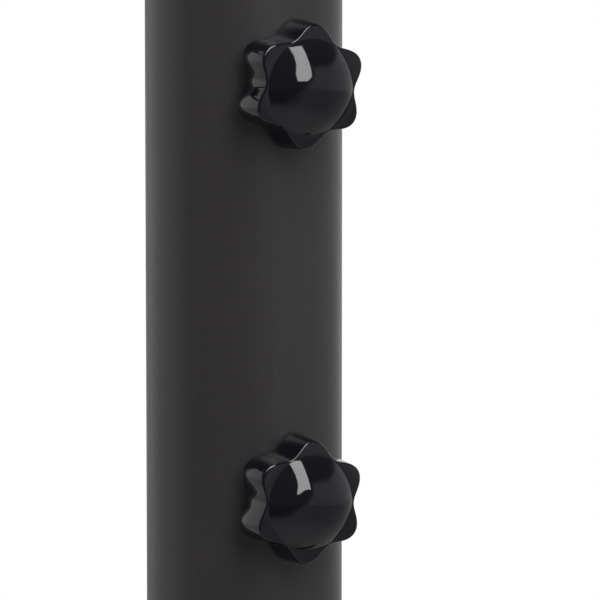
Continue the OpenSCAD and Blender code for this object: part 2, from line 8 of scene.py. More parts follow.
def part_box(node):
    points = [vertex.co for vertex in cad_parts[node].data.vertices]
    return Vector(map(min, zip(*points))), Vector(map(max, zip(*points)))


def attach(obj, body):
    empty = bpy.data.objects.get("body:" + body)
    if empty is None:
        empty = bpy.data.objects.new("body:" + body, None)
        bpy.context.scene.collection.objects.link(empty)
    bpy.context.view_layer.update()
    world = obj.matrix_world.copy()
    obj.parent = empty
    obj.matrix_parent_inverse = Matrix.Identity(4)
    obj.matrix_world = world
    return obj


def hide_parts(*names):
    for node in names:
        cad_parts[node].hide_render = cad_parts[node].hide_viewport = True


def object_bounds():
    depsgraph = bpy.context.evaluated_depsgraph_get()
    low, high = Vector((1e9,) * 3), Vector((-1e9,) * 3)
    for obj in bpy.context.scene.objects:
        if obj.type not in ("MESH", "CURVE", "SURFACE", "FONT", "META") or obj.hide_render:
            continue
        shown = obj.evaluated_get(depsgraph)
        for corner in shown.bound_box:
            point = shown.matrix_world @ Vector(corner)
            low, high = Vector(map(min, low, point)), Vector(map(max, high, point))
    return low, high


# Finishes, knobs, fasteners, grips and cushions of a power tower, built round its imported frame, in metres

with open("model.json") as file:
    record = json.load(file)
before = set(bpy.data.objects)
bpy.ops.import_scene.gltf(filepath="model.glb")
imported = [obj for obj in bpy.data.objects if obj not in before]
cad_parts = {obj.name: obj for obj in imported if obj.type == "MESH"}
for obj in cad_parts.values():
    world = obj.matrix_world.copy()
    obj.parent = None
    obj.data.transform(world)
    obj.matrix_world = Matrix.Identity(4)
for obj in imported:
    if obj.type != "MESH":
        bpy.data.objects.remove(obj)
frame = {"nodes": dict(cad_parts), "record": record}
cadLow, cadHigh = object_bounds()
cadNodes = frame["nodes"]
bodyOf = {n: b for b, members in frame["record"]["behaviour"]["bodies"].items() for n in members}
slotOf = {s["node"]: s["material_slot"] for s in frame["record"]["subparts"]}


# Where the main pieces are, read from the frame

def centreOf(node):
    low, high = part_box(node)
    return (Vector(low) + Vector(high)) / 2


def sizeOf(node):
    low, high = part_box(node)
    return Vector(high) - Vector(low)


bushingFlange = 0.002                            # how far a bushing's flange stands out past its upright
rightAxis = centreOf("right_slider_collar")      # the collar is concentric with its upright
tubeRadius = sizeOf("right_bushing").x / 2 - bushingFlange
knobMid = (centreOf("right_upper_knob") + centreOf("right_lower_knob")) / 2


# Node helpers, each of which hands back a socket or the parts of a group

def makeGroup(name, inputs, outputs):
    tree = bpy.data.node_groups.new(name, "ShaderNodeTree")
    for label, value in inputs.items():
        kind = "NodeSocketVector" if isinstance(value, tuple) else "NodeSocketFloat"
        socket = tree.interface.new_socket(label, in_out="INPUT", socket_type=kind)
        socket.default_value = value
    for label in outputs:
        tree.interface.new_socket(label, in_out="OUTPUT", socket_type="NodeSocketFloat")
    return tree, tree.nodes.new("NodeGroupInput"), tree.nodes.new("NodeGroupOutput")


def addMath(tree, operation, a, b=None, clamp=False):
    node = tree.nodes.new("ShaderNodeMath")
    node.operation = operation
    node.use_clamp = clamp
    for socket, value in zip(node.inputs, (a, b)):
        if value is None:
            continue
        if isinstance(value, (int, float)):
            socket.default_value = value
        else:
            tree.links.new(value, socket)
    return node.outputs["Value"]


def addNoise(tree, vector, scale, detail, rough, factor=None):
    node = tree.nodes.new("ShaderNodeTexNoise")
    node.inputs["Detail"].default_value = detail
    node.inputs["Roughness"].default_value = rough
    tree.links.new(vector, node.inputs["Vector"])
    if factor is None:
        node.inputs["Scale"].default_value = scale
    else:
        tree.links.new(addMath(tree, "MULTIPLY", factor, scale), node.inputs["Scale"])
    return node.outputs["Fac"]


def addRange(tree, value, low, high, outLow=0.0, outHigh=1.0):
    node = tree.nodes.new("ShaderNodeMapRange")
    node.interpolation_type = "SMOOTHSTEP"
    for label, number in (("From Min", low), ("From Max", high), ("To Min", outLow), ("To Max", outHigh)):
        node.inputs[label].default_value = number
    tree.links.new(value, node.inputs["Value"])
    return node.outputs["Result"]


def mixTint(tree, mask, low, high):
    node = tree.nodes.new("ShaderNodeMix")
    node.data_type = "RGBA"
    for label, value in (("A", low), ("B", high)):
        socket = next(i for i in node.inputs if i.name == label and i.type == "RGBA")
        if isinstance(value, tuple):
            socket.default_value = (*value, 1)
        else:
            tree.links.new(value, socket)
    tree.links.new(mask, node.inputs["Factor"])
    return next(o for o in node.outputs if o.type == "RGBA")


# Camera: turned and raised in degrees, looking between the two right knobs, shifted a little aside and down

shot = {"turn": -28.2, "rise": 7.45, "distance": 1.60, "lens": 314.3, "aside": 0.01714, "up": -0.0062}


def addCamera(s):
    turn, rise = math.radians(s["turn"]), math.radians(s["rise"])
    back = Vector((math.cos(turn) * math.cos(rise), math.sin(turn) * math.cos(rise), math.sin(rise)))
    right = Vector((-math.sin(turn), math.cos(turn), 0))
    target = Vector((rightAxis.x, rightAxis.y, knobMid.z + s["up"])) + right * s["aside"]
    camera = bpy.data.objects.new("mainCamera", bpy.data.cameras.new("mainCamera"))
    camera.data.lens = s["lens"]
    camera.data.clip_start = 0.05
    camera.data.clip_end = 100
    camera.location = target + back * s["distance"]
    camera.rotation_mode = "QUATERNION"
    camera.rotation_quaternion = back.to_track_quat("Z", "Y")
    bpy.context.scene.collection.objects.link(camera)
    bpy.context.scene.camera = camera


addCamera(shot)
print("camera placed")


# Studio

studio = {
    "seen": 1.0,                           # the plain white behind the object
    "ambient": 0.42,                       # what lights matt surfaces from all round
    "flagDirection": (0.53, -0.68, 0.50),  # a dark flag in front that polished parts reflect
    "flagEdge": (0.36, 0.56),
    "ceilingEdge": (0.36, 0.54),           # and a dark ceiling
    "flagLevel": 0.16,
    "surround": 0.88,                      # what polished parts reflect elsewhere
    "lowEdge": (-0.24, -0.02),             # below the horizon the surroundings get darker
    "lowShare": 0.57,
    "sideDirection": (0.55, 0.83, 0.0),    # and a little on the right
    "sideEdge": (0.10, 0.80),
    "sideShare": 0.74,
}

lamps = [
    {"name": "sideStrip", "at": (1.39, 0.08, 1.90), "aim": (0.33, 0.12, 0.98), "size": (0.58, 1.68),
     "power": 29, "inGloss": True},
    {"name": "leftSoft", "at": (-2.6, -1.8, 2.6), "aim": (0.0, 0.0, 1.1), "size": (2.2, 2.2),
     "power": 90, "inGloss": False},
    {"name": "backSoft", "at": (0.6, 3.2, 2.8), "aim": (0.0, 0.0, 1.1), "size": (2.0, 2.0),
     "power": 26, "inGloss": False},
    {"name": "frontFill", "at": (1.2, -3.4, 1.6), "aim": (0.0, 0.0, 1.0), "size": (2.4, 1.6),
     "power": 30, "inGloss": False},
]


def addLamp(s):
    light = bpy.data.lights.new(s["name"], "AREA")
    light.shape = "RECTANGLE"
    light.size, light.size_y = s["size"]
    light.energy = s["power"]
    lamp = bpy.data.objects.new(s["name"], light)
    lamp.location = s["at"]
    lamp.rotation_mode = "QUATERNION"
    lamp.rotation_quaternion = (Vector(s["at"]) - Vector(s["aim"])).to_track_quat("Z", "Y")
    lamp.visible_camera = False
    lamp.visible_glossy = s["inGloss"]
    bpy.context.scene.collection.objects.link(lamp)


def addWorld(s):
    world = bpy.data.worlds.new("studioWorld")
    bpy.context.scene.world = world
    world.use_nodes = True
    tree = world.node_tree
    tree.nodes.clear()
    new, link = tree.nodes.new, tree.links.new
    path = new("ShaderNodeLightPath")
    place = new("ShaderNodeTexCoord").outputs["Generated"]
    parts = new("ShaderNodeSeparateXYZ")
    link(place, parts.inputs["Vector"])
    height = parts.outputs["Z"]

    def facing(direction):
        dot = new("ShaderNodeVectorMath")
        dot.operation = "DOT_PRODUCT"
        dot.inputs[1].default_value = Vector(direction).normalized()
        link(place, dot.inputs[0])
        return dot.outputs["Value"]

    flag = addRange(tree, facing(s["flagDirection"]), *s["flagEdge"], s["surround"], s["flagLevel"])
    ceiling = addRange(tree, height, *s["ceilingEdge"], s["surround"], s["flagLevel"])
    low = addRange(tree, height, *s["lowEdge"], s["lowShare"])
    side = addRange(tree, facing(s["sideDirection"]), *s["sideEdge"], 1.0, s["sideShare"])
    dimmed = addMath(tree, "MULTIPLY", low, side)
    reflected = addMath(tree, "MULTIPLY", addMath(tree, "MINIMUM", flag, ceiling), dimmed)
    glossy = new("ShaderNodeMix")
    glossy.inputs["A"].default_value = s["ambient"]
    link(path.outputs["Is Glossy Ray"], glossy.inputs["Factor"])
    link(reflected, glossy.inputs["B"])
    level = new("ShaderNodeMix")
    level.inputs["B"].default_value = s["seen"]
    seen = addMath(tree, "MAXIMUM", path.outputs["Is Camera Ray"], path.outputs["Is Transmission Ray"])
    link(seen, level.inputs["Factor"])
    link(glossy.outputs["Result"], level.inputs["A"])
    sky = new("ShaderNodeBackground")
    sky.inputs["Color"].default_value = (1, 1, 1, 1)
    link(level.outputs["Result"], sky.inputs["Strength"])
    link(sky.outputs["Background"], new("ShaderNodeOutputWorld").inputs["Surface"])


# The floor shows one colour to the camera and a darker one to every other ray: painted shade that polished
# parts reflect and that lights the object less from below
floorLook = {"radius": 1.75, "fadeFrom": 0.95, "clearRim": 0.02, "below": 0.0005, "steps": 128,
             "tint": (0.80, 0.80, 0.80), "paintedShadeTint": (0.44, 0.44, 0.44), "roughness": 0.6}


def addFloor(s):
    bm = bmesh.new()
    bmesh.ops.create_circle(bm, cap_ends=True, segments=s["steps"], radius=s["radius"])
    mesh = bpy.data.meshes.new("floor")
    bm.to_mesh(mesh)
    bm.free()
    floor = bpy.data.objects.new("floor", mesh)
    floor.location.z = cadLow.z - s["below"]
    bpy.context.scene.collection.objects.link(floor)
    material = bpy.data.materials.new("paleFloor")
    material.use_nodes = True
    tree = material.node_tree
    new, link = tree.nodes.new, tree.links.new
    surface = tree.nodes["Principled BSDF"]
    surface.inputs["Roughness"].default_value = s["roughness"]
    # Darker to all rays but the camera's: painted shade seen in reflections and in bounce light
    seen = new("ShaderNodeLightPath").outputs["Is Camera Ray"]
    link(mixTint(tree, seen, s["paintedShadeTint"], s["tint"]), surface.inputs["Base Color"])
    reach = new("ShaderNodeVectorMath")
    reach.operation = "LENGTH"
    link(new("ShaderNodeTexCoord").outputs["Object"], reach.inputs[0])
    fade = addRange(tree, reach.outputs["Value"], s["fadeFrom"], s["radius"] - s["clearRim"])
    clear = new("ShaderNodeBsdfTransparent")
    blend = new("ShaderNodeMixShader")
    link(fade, blend.inputs["Fac"])
    link(surface.outputs["BSDF"], blend.inputs[1])
    link(clear.outputs["BSDF"], blend.inputs[2])
    link(blend.outputs["Shader"], tree.nodes["Material Output"].inputs["Surface"])
    mesh.materials.append(material)


for lampSettings in lamps:
    addLamp(lampSettings)
addWorld(studio)
addFloor(floorLook)
bpy.context.scene.view_settings.view_transform = "Standard"
print("studio ready")


# Shader node groups, each built once

# Fine sprayed or moulded skin: a tight grain over a slow ripple
def buildSkinGrain():
    inputs = {"Grains per metre": 2200.0, "Ripple": 0.35}
    tree, ins, outs = makeGroup("skinGrain", inputs, ["Height", "Mottle"])
    place = tree.nodes.new("ShaderNodeTexCoord").outputs["Object"]
    grain = addNoise(tree, place, 1.0, detail=2.0, rough=0.55, factor=ins.outputs["Grains per metre"])
    ripple = addNoise(tree, place, 0.16, detail=1.0, rough=0.5, factor=ins.outputs["Grains per metre"])
    height = addMath(tree, "ADD", grain, addMath(tree, "MULTIPLY", ripple, ins.outputs["Ripple"]))
    tree.links.new(height, outs.inputs["Height"])
    tree.links.new(addNoise(tree, place, 9.0, detail=4.0, rough=0.6), outs.inputs["Mottle"])
    return tree


# Rubbed and scuffed places: short scratches inside broad patches
def buildScuffs():
    tree, ins, outs = makeGroup("scuffs", {"Amount": 0.5, "Patch scale": 7.0}, ["Mask"])
    place = tree.nodes.new("ShaderNodeTexCoord").outputs["Object"]
    blotches = addNoise(tree, place, 1.0, detail=3.0, rough=0.6, factor=ins.outputs["Patch scale"])
    patches = addRange(tree, blotches, low=0.52, high=0.72)
    turned = tree.nodes.new("ShaderNodeMapping")
    turned.inputs["Rotation"].default_value = (0.5, 0.9, 0.3)
    turned.inputs["Scale"].default_value = (1.0, 14.0, 6.0)
    tree.links.new(place, turned.inputs["Vector"])
    streaks = addNoise(tree, turned.outputs["Vector"], 60.0, detail=5.0, rough=0.7)
    lines = addRange(tree, streaks, low=0.60, high=0.70)
    marks = addMath(tree, "MULTIPLY", patches, lines)
    mask = addMath(tree, "MULTIPLY", marks, ins.outputs["Amount"], True)
    tree.links.new(mask, outs.inputs["Mask"])
    return tree


# Dust that settles on what faces up
def buildDust():
    tree, ins, outs = makeGroup("settledDust", {"Amount": 0.4}, ["Mask"])
    place = tree.nodes.new("ShaderNodeTexCoord").outputs["Object"]
    surface = tree.nodes.new("ShaderNodeNewGeometry")
    parts = tree.nodes.new("ShaderNodeSeparateXYZ")
    tree.links.new(surface.outputs["Normal"], parts.inputs["Vector"])
    upward = addRange(tree, parts.outputs["Z"], low=0.35, high=1.0)
    clouds = addNoise(tree, place, 22.0, detail=5.0, rough=0.62)
    drift = addRange(tree, clouds, low=0.35, high=0.75)
    settled = addMath(tree, "MULTIPLY", upward, drift)
    mask = addMath(tree, "MULTIPLY", settled, ins.outputs["Amount"], True)
    tree.links.new(mask, outs.inputs["Mask"])
    return tree


# Pebbled vinyl: small rounded cells with creases between them, over soft folds
def buildPebble():
    tree, ins, outs = makeGroup("pebble", {"Cells per metre": 900.0, "Folds": 0.5}, ["Height", "Crease"])
    place = tree.nodes.new("ShaderNodeTexCoord").outputs["Object"]
    cells = tree.nodes.new("ShaderNodeTexVoronoi")
    cells.feature = "DISTANCE_TO_EDGE"
    tree.links.new(place, cells.inputs["Vector"])
    tree.links.new(ins.outputs["Cells per metre"], cells.inputs["Scale"])
    dome = addRange(tree, cells.outputs["Distance"], low=0.0, high=0.28)
    waves = addNoise(tree, place, 26.0, detail=3.0, rough=0.55)
    folds = addMath(tree, "MULTIPLY", waves, ins.outputs["Folds"])
    height = addMath(tree, "ADD", addMath(tree, "MULTIPLY", dome, 0.5), folds)
    tree.links.new(height, outs.inputs["Height"])
    tree.links.new(addMath(tree, "SUBTRACT", 1.0, dome), outs.inputs["Crease"])
    return tree


# Wood grain that runs along one axis, with plies across another
def buildPly():
    inputs = {"Stretch": (1.0, 1.0, 1.0), "Across": (0.0, 1.0, 0.0), "Plies per metre": 430.0}
    tree, ins, outs = makeGroup("plyLayers", inputs, ["Grain", "Ply"])
    place = tree.nodes.new("ShaderNodeTexCoord").outputs["Object"]
    stretched = tree.nodes.new("ShaderNodeVectorMath")
    stretched.operation = "MULTIPLY"
    tree.links.new(place, stretched.inputs[0])
    tree.links.new(ins.outputs["Stretch"], stretched.inputs[1])
    fibres = addNoise(tree, stretched.outputs["Vector"], 28.0, detail=6.0, rough=0.65)
    tree.links.new(fibres, outs.inputs["Grain"])
    depth = tree.nodes.new("ShaderNodeVectorMath")
    depth.operation = "DOT_PRODUCT"
    tree.links.new(place, depth.inputs[0])
    tree.links.new(ins.outputs["Across"], depth.inputs[1])
    turns = addMath(tree, "MULTIPLY", depth.outputs["Value"], ins.outputs["Plies per metre"])
    tree.links.new(addMath(tree, "PINGPONG", turns, 1.0), outs.inputs["Ply"])
    return tree


skinGrain = buildSkinGrain()
scuffs = buildScuffs()
settledDust = buildDust()
pebble = buildPebble()
plyLayers = buildPly()


# Materials

def useGroup(tree, group, **values):
    node = tree.nodes.new("ShaderNodeGroup")
    node.node_tree = group
    for label, value in values.items():
        node.inputs[label.replace("_", " ")].default_value = value
    return node


plainFinish = {"metallic": 0.0, "specular": 0.5, "sheen": 0.0}


def newFinish(name, settings):
    s = {**plainFinish, **settings}
    material = bpy.data.materials.new(name)
    material.use_nodes = True
    surface = material.node_tree.nodes["Principled BSDF"]
    surface.inputs["Base Color"].default_value = (*s["tint"], 1)
    surface.inputs["Roughness"].default_value = s["roughness"]
    surface.inputs["Metallic"].default_value = s["metallic"]
    surface.inputs["Specular IOR Level"].default_value = s["specular"]
    surface.inputs["Sheen Weight"].default_value = s["sheen"]
    return material, material.node_tree, surface


def addBump(tree, surface, height, strength, distance, soften=0.0):
    bump = tree.nodes.new("ShaderNodeBump")
    bump.inputs["Strength"].default_value = strength
    bump.inputs["Distance"].default_value = distance
    tree.links.new(height, bump.inputs["Height"])
    if soften:
        rounded = tree.nodes.new("ShaderNodeBevel")      # takes the hard line off sawn and punched edges
        rounded.inputs["Radius"].default_value = soften
        tree.links.new(rounded.outputs["Normal"], bump.inputs["Normal"])
    tree.links.new(bump.outputs["Normal"], surface.inputs["Normal"])


plainSkin = {"ripple": 0.35, "swing": 0.08, "mottle": (0.3, 0.7), "soften": 0.0, "scuff": 0.3, "patch": 7.0,
             "wornRough": 0.18, "dust": 0.25, "dusty": (0.16, 0.155, 0.15)}


# Most finishes: a grained skin with mottled roughness, scuffs that show lighter, and settled dust
def makeSkin(name, settings):
    s = {**plainSkin, "tintFar": settings["tint"], **settings}
    material, tree, surface = newFinish(name, s)
    grain = useGroup(tree, skinGrain, Grains_per_metre=s["grains"], Ripple=s["ripple"])
    rubbed = useGroup(tree, scuffs, Amount=s["scuff"], Patch_scale=s["patch"])
    dust = useGroup(tree, settledDust, Amount=s["dust"])
    tint = mixTint(tree, grain.outputs["Mottle"], s["tint"], s["tintFar"])
    tint = mixTint(tree, rubbed.outputs["Mask"], tint, s["worn"])
    tint = mixTint(tree, dust.outputs["Mask"], tint, s["dusty"])
    tree.links.new(tint, surface.inputs["Base Color"])
    smoothest, roughest = s["roughness"] - s["swing"], s["roughness"] + s["swing"]
    rough = addRange(tree, grain.outputs["Mottle"], *s["mottle"], smoothest, roughest)
    rougher = addMath(tree, "MULTIPLY", rubbed.outputs["Mask"], s["wornRough"])
    tree.links.new(addMath(tree, "ADD", rough, rougher, True), surface.inputs["Roughness"])
    addBump(tree, surface, grain.outputs["Height"], s["bump"], s["depth"], s["soften"])
    return material


skins = {
    "powder_coat": {"tint": (0.0212, 0.0195, 0.0207), "tintFar": (0.0236, 0.0218, 0.0231),
                    "roughness": 0.31, "swing": 0.03, "specular": 0.36, "grains": 2300.0, "ripple": 0.5,
                    "bump": 0.30, "depth": 0.00010, "soften": 0.0007, "worn": (0.030, 0.029, 0.029),
                    "scuff": 0.10, "dust": 0.05},
    "knob_plastic": {"tint": (0.0034, 0.0028, 0.0048), "roughness": 0.055, "specular": 0.36,
                     "swing": 0.015, "grains": 150.0, "ripple": 0.5, "bump": 0.20, "depth": 0.00025,
                     "worn": (0.02, 0.02, 0.02), "scuff": 0.05, "dust": 0.02},
    "moulded_plastic": {"tint": (0.0120, 0.0120, 0.0122), "tintFar": (0.0160, 0.0158, 0.0156),
                        "roughness": 0.52, "grains": 2600.0, "bump": 0.45, "depth": 0.00015,
                        "soften": 0.0006, "worn": (0.05, 0.05, 0.05), "scuff": 0.35, "dust": 0.22},
    "sole_rubber": {"tint": (0.0110, 0.0108, 0.0105), "tintFar": (0.0170, 0.0160, 0.0150),
                    "roughness": 0.78, "specular": 0.3, "grains": 1500.0, "bump": 0.5, "depth": 0.0002,
                    "worn": (0.06, 0.055, 0.05), "scuff": 0.6, "dust": 0.3},
    "bearing_plastic": {"tint": (0.0130, 0.0130, 0.0135), "roughness": 0.30, "grains": 1800.0,
                        "bump": 0.2, "depth": 0.0001, "soften": 0.0008, "worn": (0.045, 0.045, 0.045),
                        "scuff": 0.3, "dust": 0.12},
    "zinc_steel": {"tint": (0.56, 0.57, 0.58), "tintFar": (0.66, 0.64, 0.58), "metallic": 1.0,
                   "roughness": 0.30, "swing": 0.10, "grains": 900.0, "bump": 0.25, "depth": 0.00008,
                   "worn": (0.30, 0.29, 0.27), "scuff": 0.4, "patch": 60.0, "dust": 0.12},
    "nylon": {"tint": (0.66, 0.62, 0.52), "tintFar": (0.72, 0.69, 0.60), "roughness": 0.45,
              "grains": 1800.0, "bump": 0.2, "depth": 0.0001, "worn": (0.45, 0.42, 0.36),
              "scuff": 0.3, "dust": 0.05},
    "grip_foam": {"tint": (0.0120, 0.0120, 0.0124), "tintFar": (0.0170, 0.0168, 0.0168),
                  "roughness": 0.86, "specular": 0.25, "sheen": 0.12, "grains": 1900.0, "ripple": 0.8,
                  "bump": 0.9, "depth": 0.00035, "worn": (0.035, 0.035, 0.035), "scuff": 0.35,
                  "dust": 0.12},
}


# tint is the darker colour painted into the creases as shade, and tintFar the colour of the cells
vinylLook = {"tint": (0.0105, 0.0105, 0.0110), "tintFar": (0.0150, 0.0148, 0.0148), "roughness": 0.44,
             "cells": 950.0, "folds": 0.55, "bump": 0.55, "depth": 0.00035, "worn": (0.030, 0.029, 0.028),
             "scuff": 0.22, "patch": 9.0, "dust": 0.16, "dusty": (0.13, 0.125, 0.12),
             "smoother": 0.07, "rougher": 0.12}       # roughness on the cells and in their creases


def makeVinyl(s):
    material, tree, surface = newFinish("vinyl", s)
    grain = useGroup(tree, pebble, Cells_per_metre=s["cells"], Folds=s["folds"])
    rubbed = useGroup(tree, scuffs, Amount=s["scuff"], Patch_scale=s["patch"])
    dust = useGroup(tree, settledDust, Amount=s["dust"])
    # Cells take the lighter tint and the creases between them the darker one: painted shade in the creases
    tint = mixTint(tree, grain.outputs["Crease"], s["tintFar"], s["tint"])
    tint = mixTint(tree, rubbed.outputs["Mask"], tint, s["worn"])
    tint = mixTint(tree, dust.outputs["Mask"], tint, s["dusty"])
    tree.links.new(tint, surface.inputs["Base Color"])
    onCells, inCreases = s["roughness"] - s["smoother"], s["roughness"] + s["rougher"]
    rough = addRange(tree, grain.outputs["Crease"], 0.0, 1.0, onCells, inCreases)
    tree.links.new(rough, surface.inputs["Roughness"])
    addBump(tree, surface, grain.outputs["Height"], s["bump"], s["depth"])
    return material


plyLook = {"light": (0.52, 0.36, 0.20), "dark": (0.34, 0.20, 0.10), "glue": (0.16, 0.09, 0.05),
           "tint": (0.50, 0.34, 0.19), "contrast": (0.35, 0.68), "roughness": 0.62,
           "glueLine": 0.80, "glueShare": 0.5, "bump": 0.3, "depth": 0.0003}


def makePlywood(name, s, stretch, across):
    material, tree, surface = newFinish(name, s)
    layers = useGroup(tree, plyLayers, Stretch=stretch, Across=across)
    tint = mixTint(tree, addRange(tree, layers.outputs["Grain"], *s["contrast"]), s["dark"], s["light"])
    glueLine = addRange(tree, layers.outputs["Ply"], s["glueLine"], 1.0)
    tint = mixTint(tree, addMath(tree, "MULTIPLY", glueLine, s["glueShare"]), tint, s["glue"])
    tree.links.new(tint, surface.inputs["Base Color"])
    addBump(tree, surface, layers.outputs["Grain"], s["bump"], s["depth"])
    return material


finishes = {name: makeSkin(name, settings) for name, settings in skins.items()}
finishes["vinyl"] = makeVinyl(vinylLook)
# The grain runs along the axis with the small stretch, and the plies lie one on another across the board
finishes["plywood"] = makePlywood("armPlywood", plyLook, stretch=(6.0, 0.7, 6.0), across=(0.0, 0.0, 1.0))
finishes["backPlywood"] = makePlywood("backPlywood", plyLook, stretch=(6.0, 6.0, 0.7),
                                      across=(0.0, 1.0, 0.0))

for nodeName, nodeObject in cadNodes.items():
    finish = "backPlywood" if nodeName == "back_board" else slotOf[nodeName]
    nodeObject.data.materials.clear()
    nodeObject.data.materials.append(finishes[finish])
print("materials ready:", len(finishes))


# Mesh helpers

# Lays quads between neighbouring rings of points, all with the same count
def bridge(bm, rings, closed=True):
    rows = [[bm.verts.new(point) for point in ring] for ring in rings]
    for a, b in zip(rows, rows[1:]):
        for i in range(len(a) if closed else len(a) - 1):
            j = (i + 1) % len(a)
            bm.faces.new((a[i], a[j], b[j], b[i]))
    return rows


def capEnds(bm, rows):
    bm.faces.new(rows[0])
    bm.faces.new(list(reversed(rows[-1])))


# A place whose +Z runs along one direction, and whose +X is as near as can be to another
def placeAt(origin, along, up=(0, 0, 1)):
    z = Vector(along).normalized()
    x = Vector(up) - Vector(up).dot(z) * z
    if x.length < 0.1:
        x = Vector((0, 1, 0)) - z.y * z
    x.normalize()
    y = z.cross(x)
    place = Matrix((x, y, z)).transposed().to_4x4()
    place.translation = Vector(origin)
    return place


def turnsOf(steps):
    return [2 * math.pi * i / steps for i in range(steps)]


def circleRing(place, radius, height, steps):
    return [place @ Vector((radius * math.cos(a), radius * math.sin(a), height)) for a in turnsOf(steps)]


# A turned shape from a profile of (radius, height) pairs; a radius of 0 closes it
def turnShape(bm, place, profile, steps=48):
    return bridge(bm, [circleRing(place, radius, height, steps) for radius, height in profile])


# Points of a rounded edge in a profile, from one angle to another about a centre
def roundEdge(centre, radius, start, end, steps=5):
    angles = [math.radians(start + (end - start) * i / steps) for i in range(steps + 1)]
    return [(centre[0] + radius * math.cos(a), centre[1] + radius * math.sin(a)) for a in angles]


def addPiece(name, bm, finish, body, sharp=38.0):
    bmesh.ops.remove_doubles(bm, verts=bm.verts, dist=1e-6)
    bmesh.ops.recalc_face_normals(bm, faces=bm.faces)
    mesh = bpy.data.meshes.new(name)
    bm.to_mesh(mesh)
    bm.free()
    mesh.materials.append(finishes[finish])
    mesh.shade_smooth()
    mesh.set_sharp_from_angle(angle=math.radians(sharp))
    piece = bpy.data.objects.new(name, mesh)
    bpy.context.scene.collection.objects.link(piece)
    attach(piece, body)
    return piece


# Points of each separate solid inside one CAD node
def solidsOf(node):
    bm = bmesh.new()
    bm.from_mesh(cadNodes[node].data)
    bmesh.ops.remove_doubles(bm, verts=bm.verts, dist=2e-6)
    bm.verts.ensure_lookup_table()
    seen, solids = set(), []
    for start in bm.verts:
        if start.index in seen:
            continue
        seen.add(start.index)
        stack, points = [start], []
        while stack:
            vert = stack.pop()
            points.append(vert.co.copy())
            for edge in vert.link_edges:
                other = edge.other_vert(vert)
                if other.index not in seen:
                    seen.add(other.index)
                    stack.append(other)
        solids.append(points)
    bm.free()
    return solids


def boundsOf(points):
    low = Vector([min(p[i] for p in points) for i in range(3)])
    high = Vector([max(p[i] for p in points) for i in range(3)])
    return low, high


# Clamp knobs

knobLook = {
    "lobes": 6,
    "valleyDepth": 0.0038,                  # from a lobe's tip circle down to a valley
    "lean": {"upper": 6.5, "lower": 4.0},   # degrees that the top lobe leans to the rear
    "bore": 0.0041,                         # where the stud comes out
    "recess": (0.0095, 0.0014),             # radius and depth of the hollow behind the lobes
    "recessRound": 0.0003,
    "wall": 0.0120,                         # length of the side wall
    "rearDraft": 0.00056,                   # the wall is this much wider at its rear
    "frontDraft": 0.00024,                  # and this much narrower at its front
    "rearRound": 0.0007,
    "fillet": 0.0006,
    "lobeDrop": 26.0,                       # how the lobes' fronts fall away, per metre
    "domeMargin": 0.0009,                   # from the bottom of a valley to the dome's foot
    "domeRings": 24,
    "sink": 0.00012,                        # shallow sink marks that follow the lobes
    "sinkTurn": -150.0,                     # degrees of a lobe's cycle that they lag behind
    "steps": 168,
    "sharp": 35.0,
}


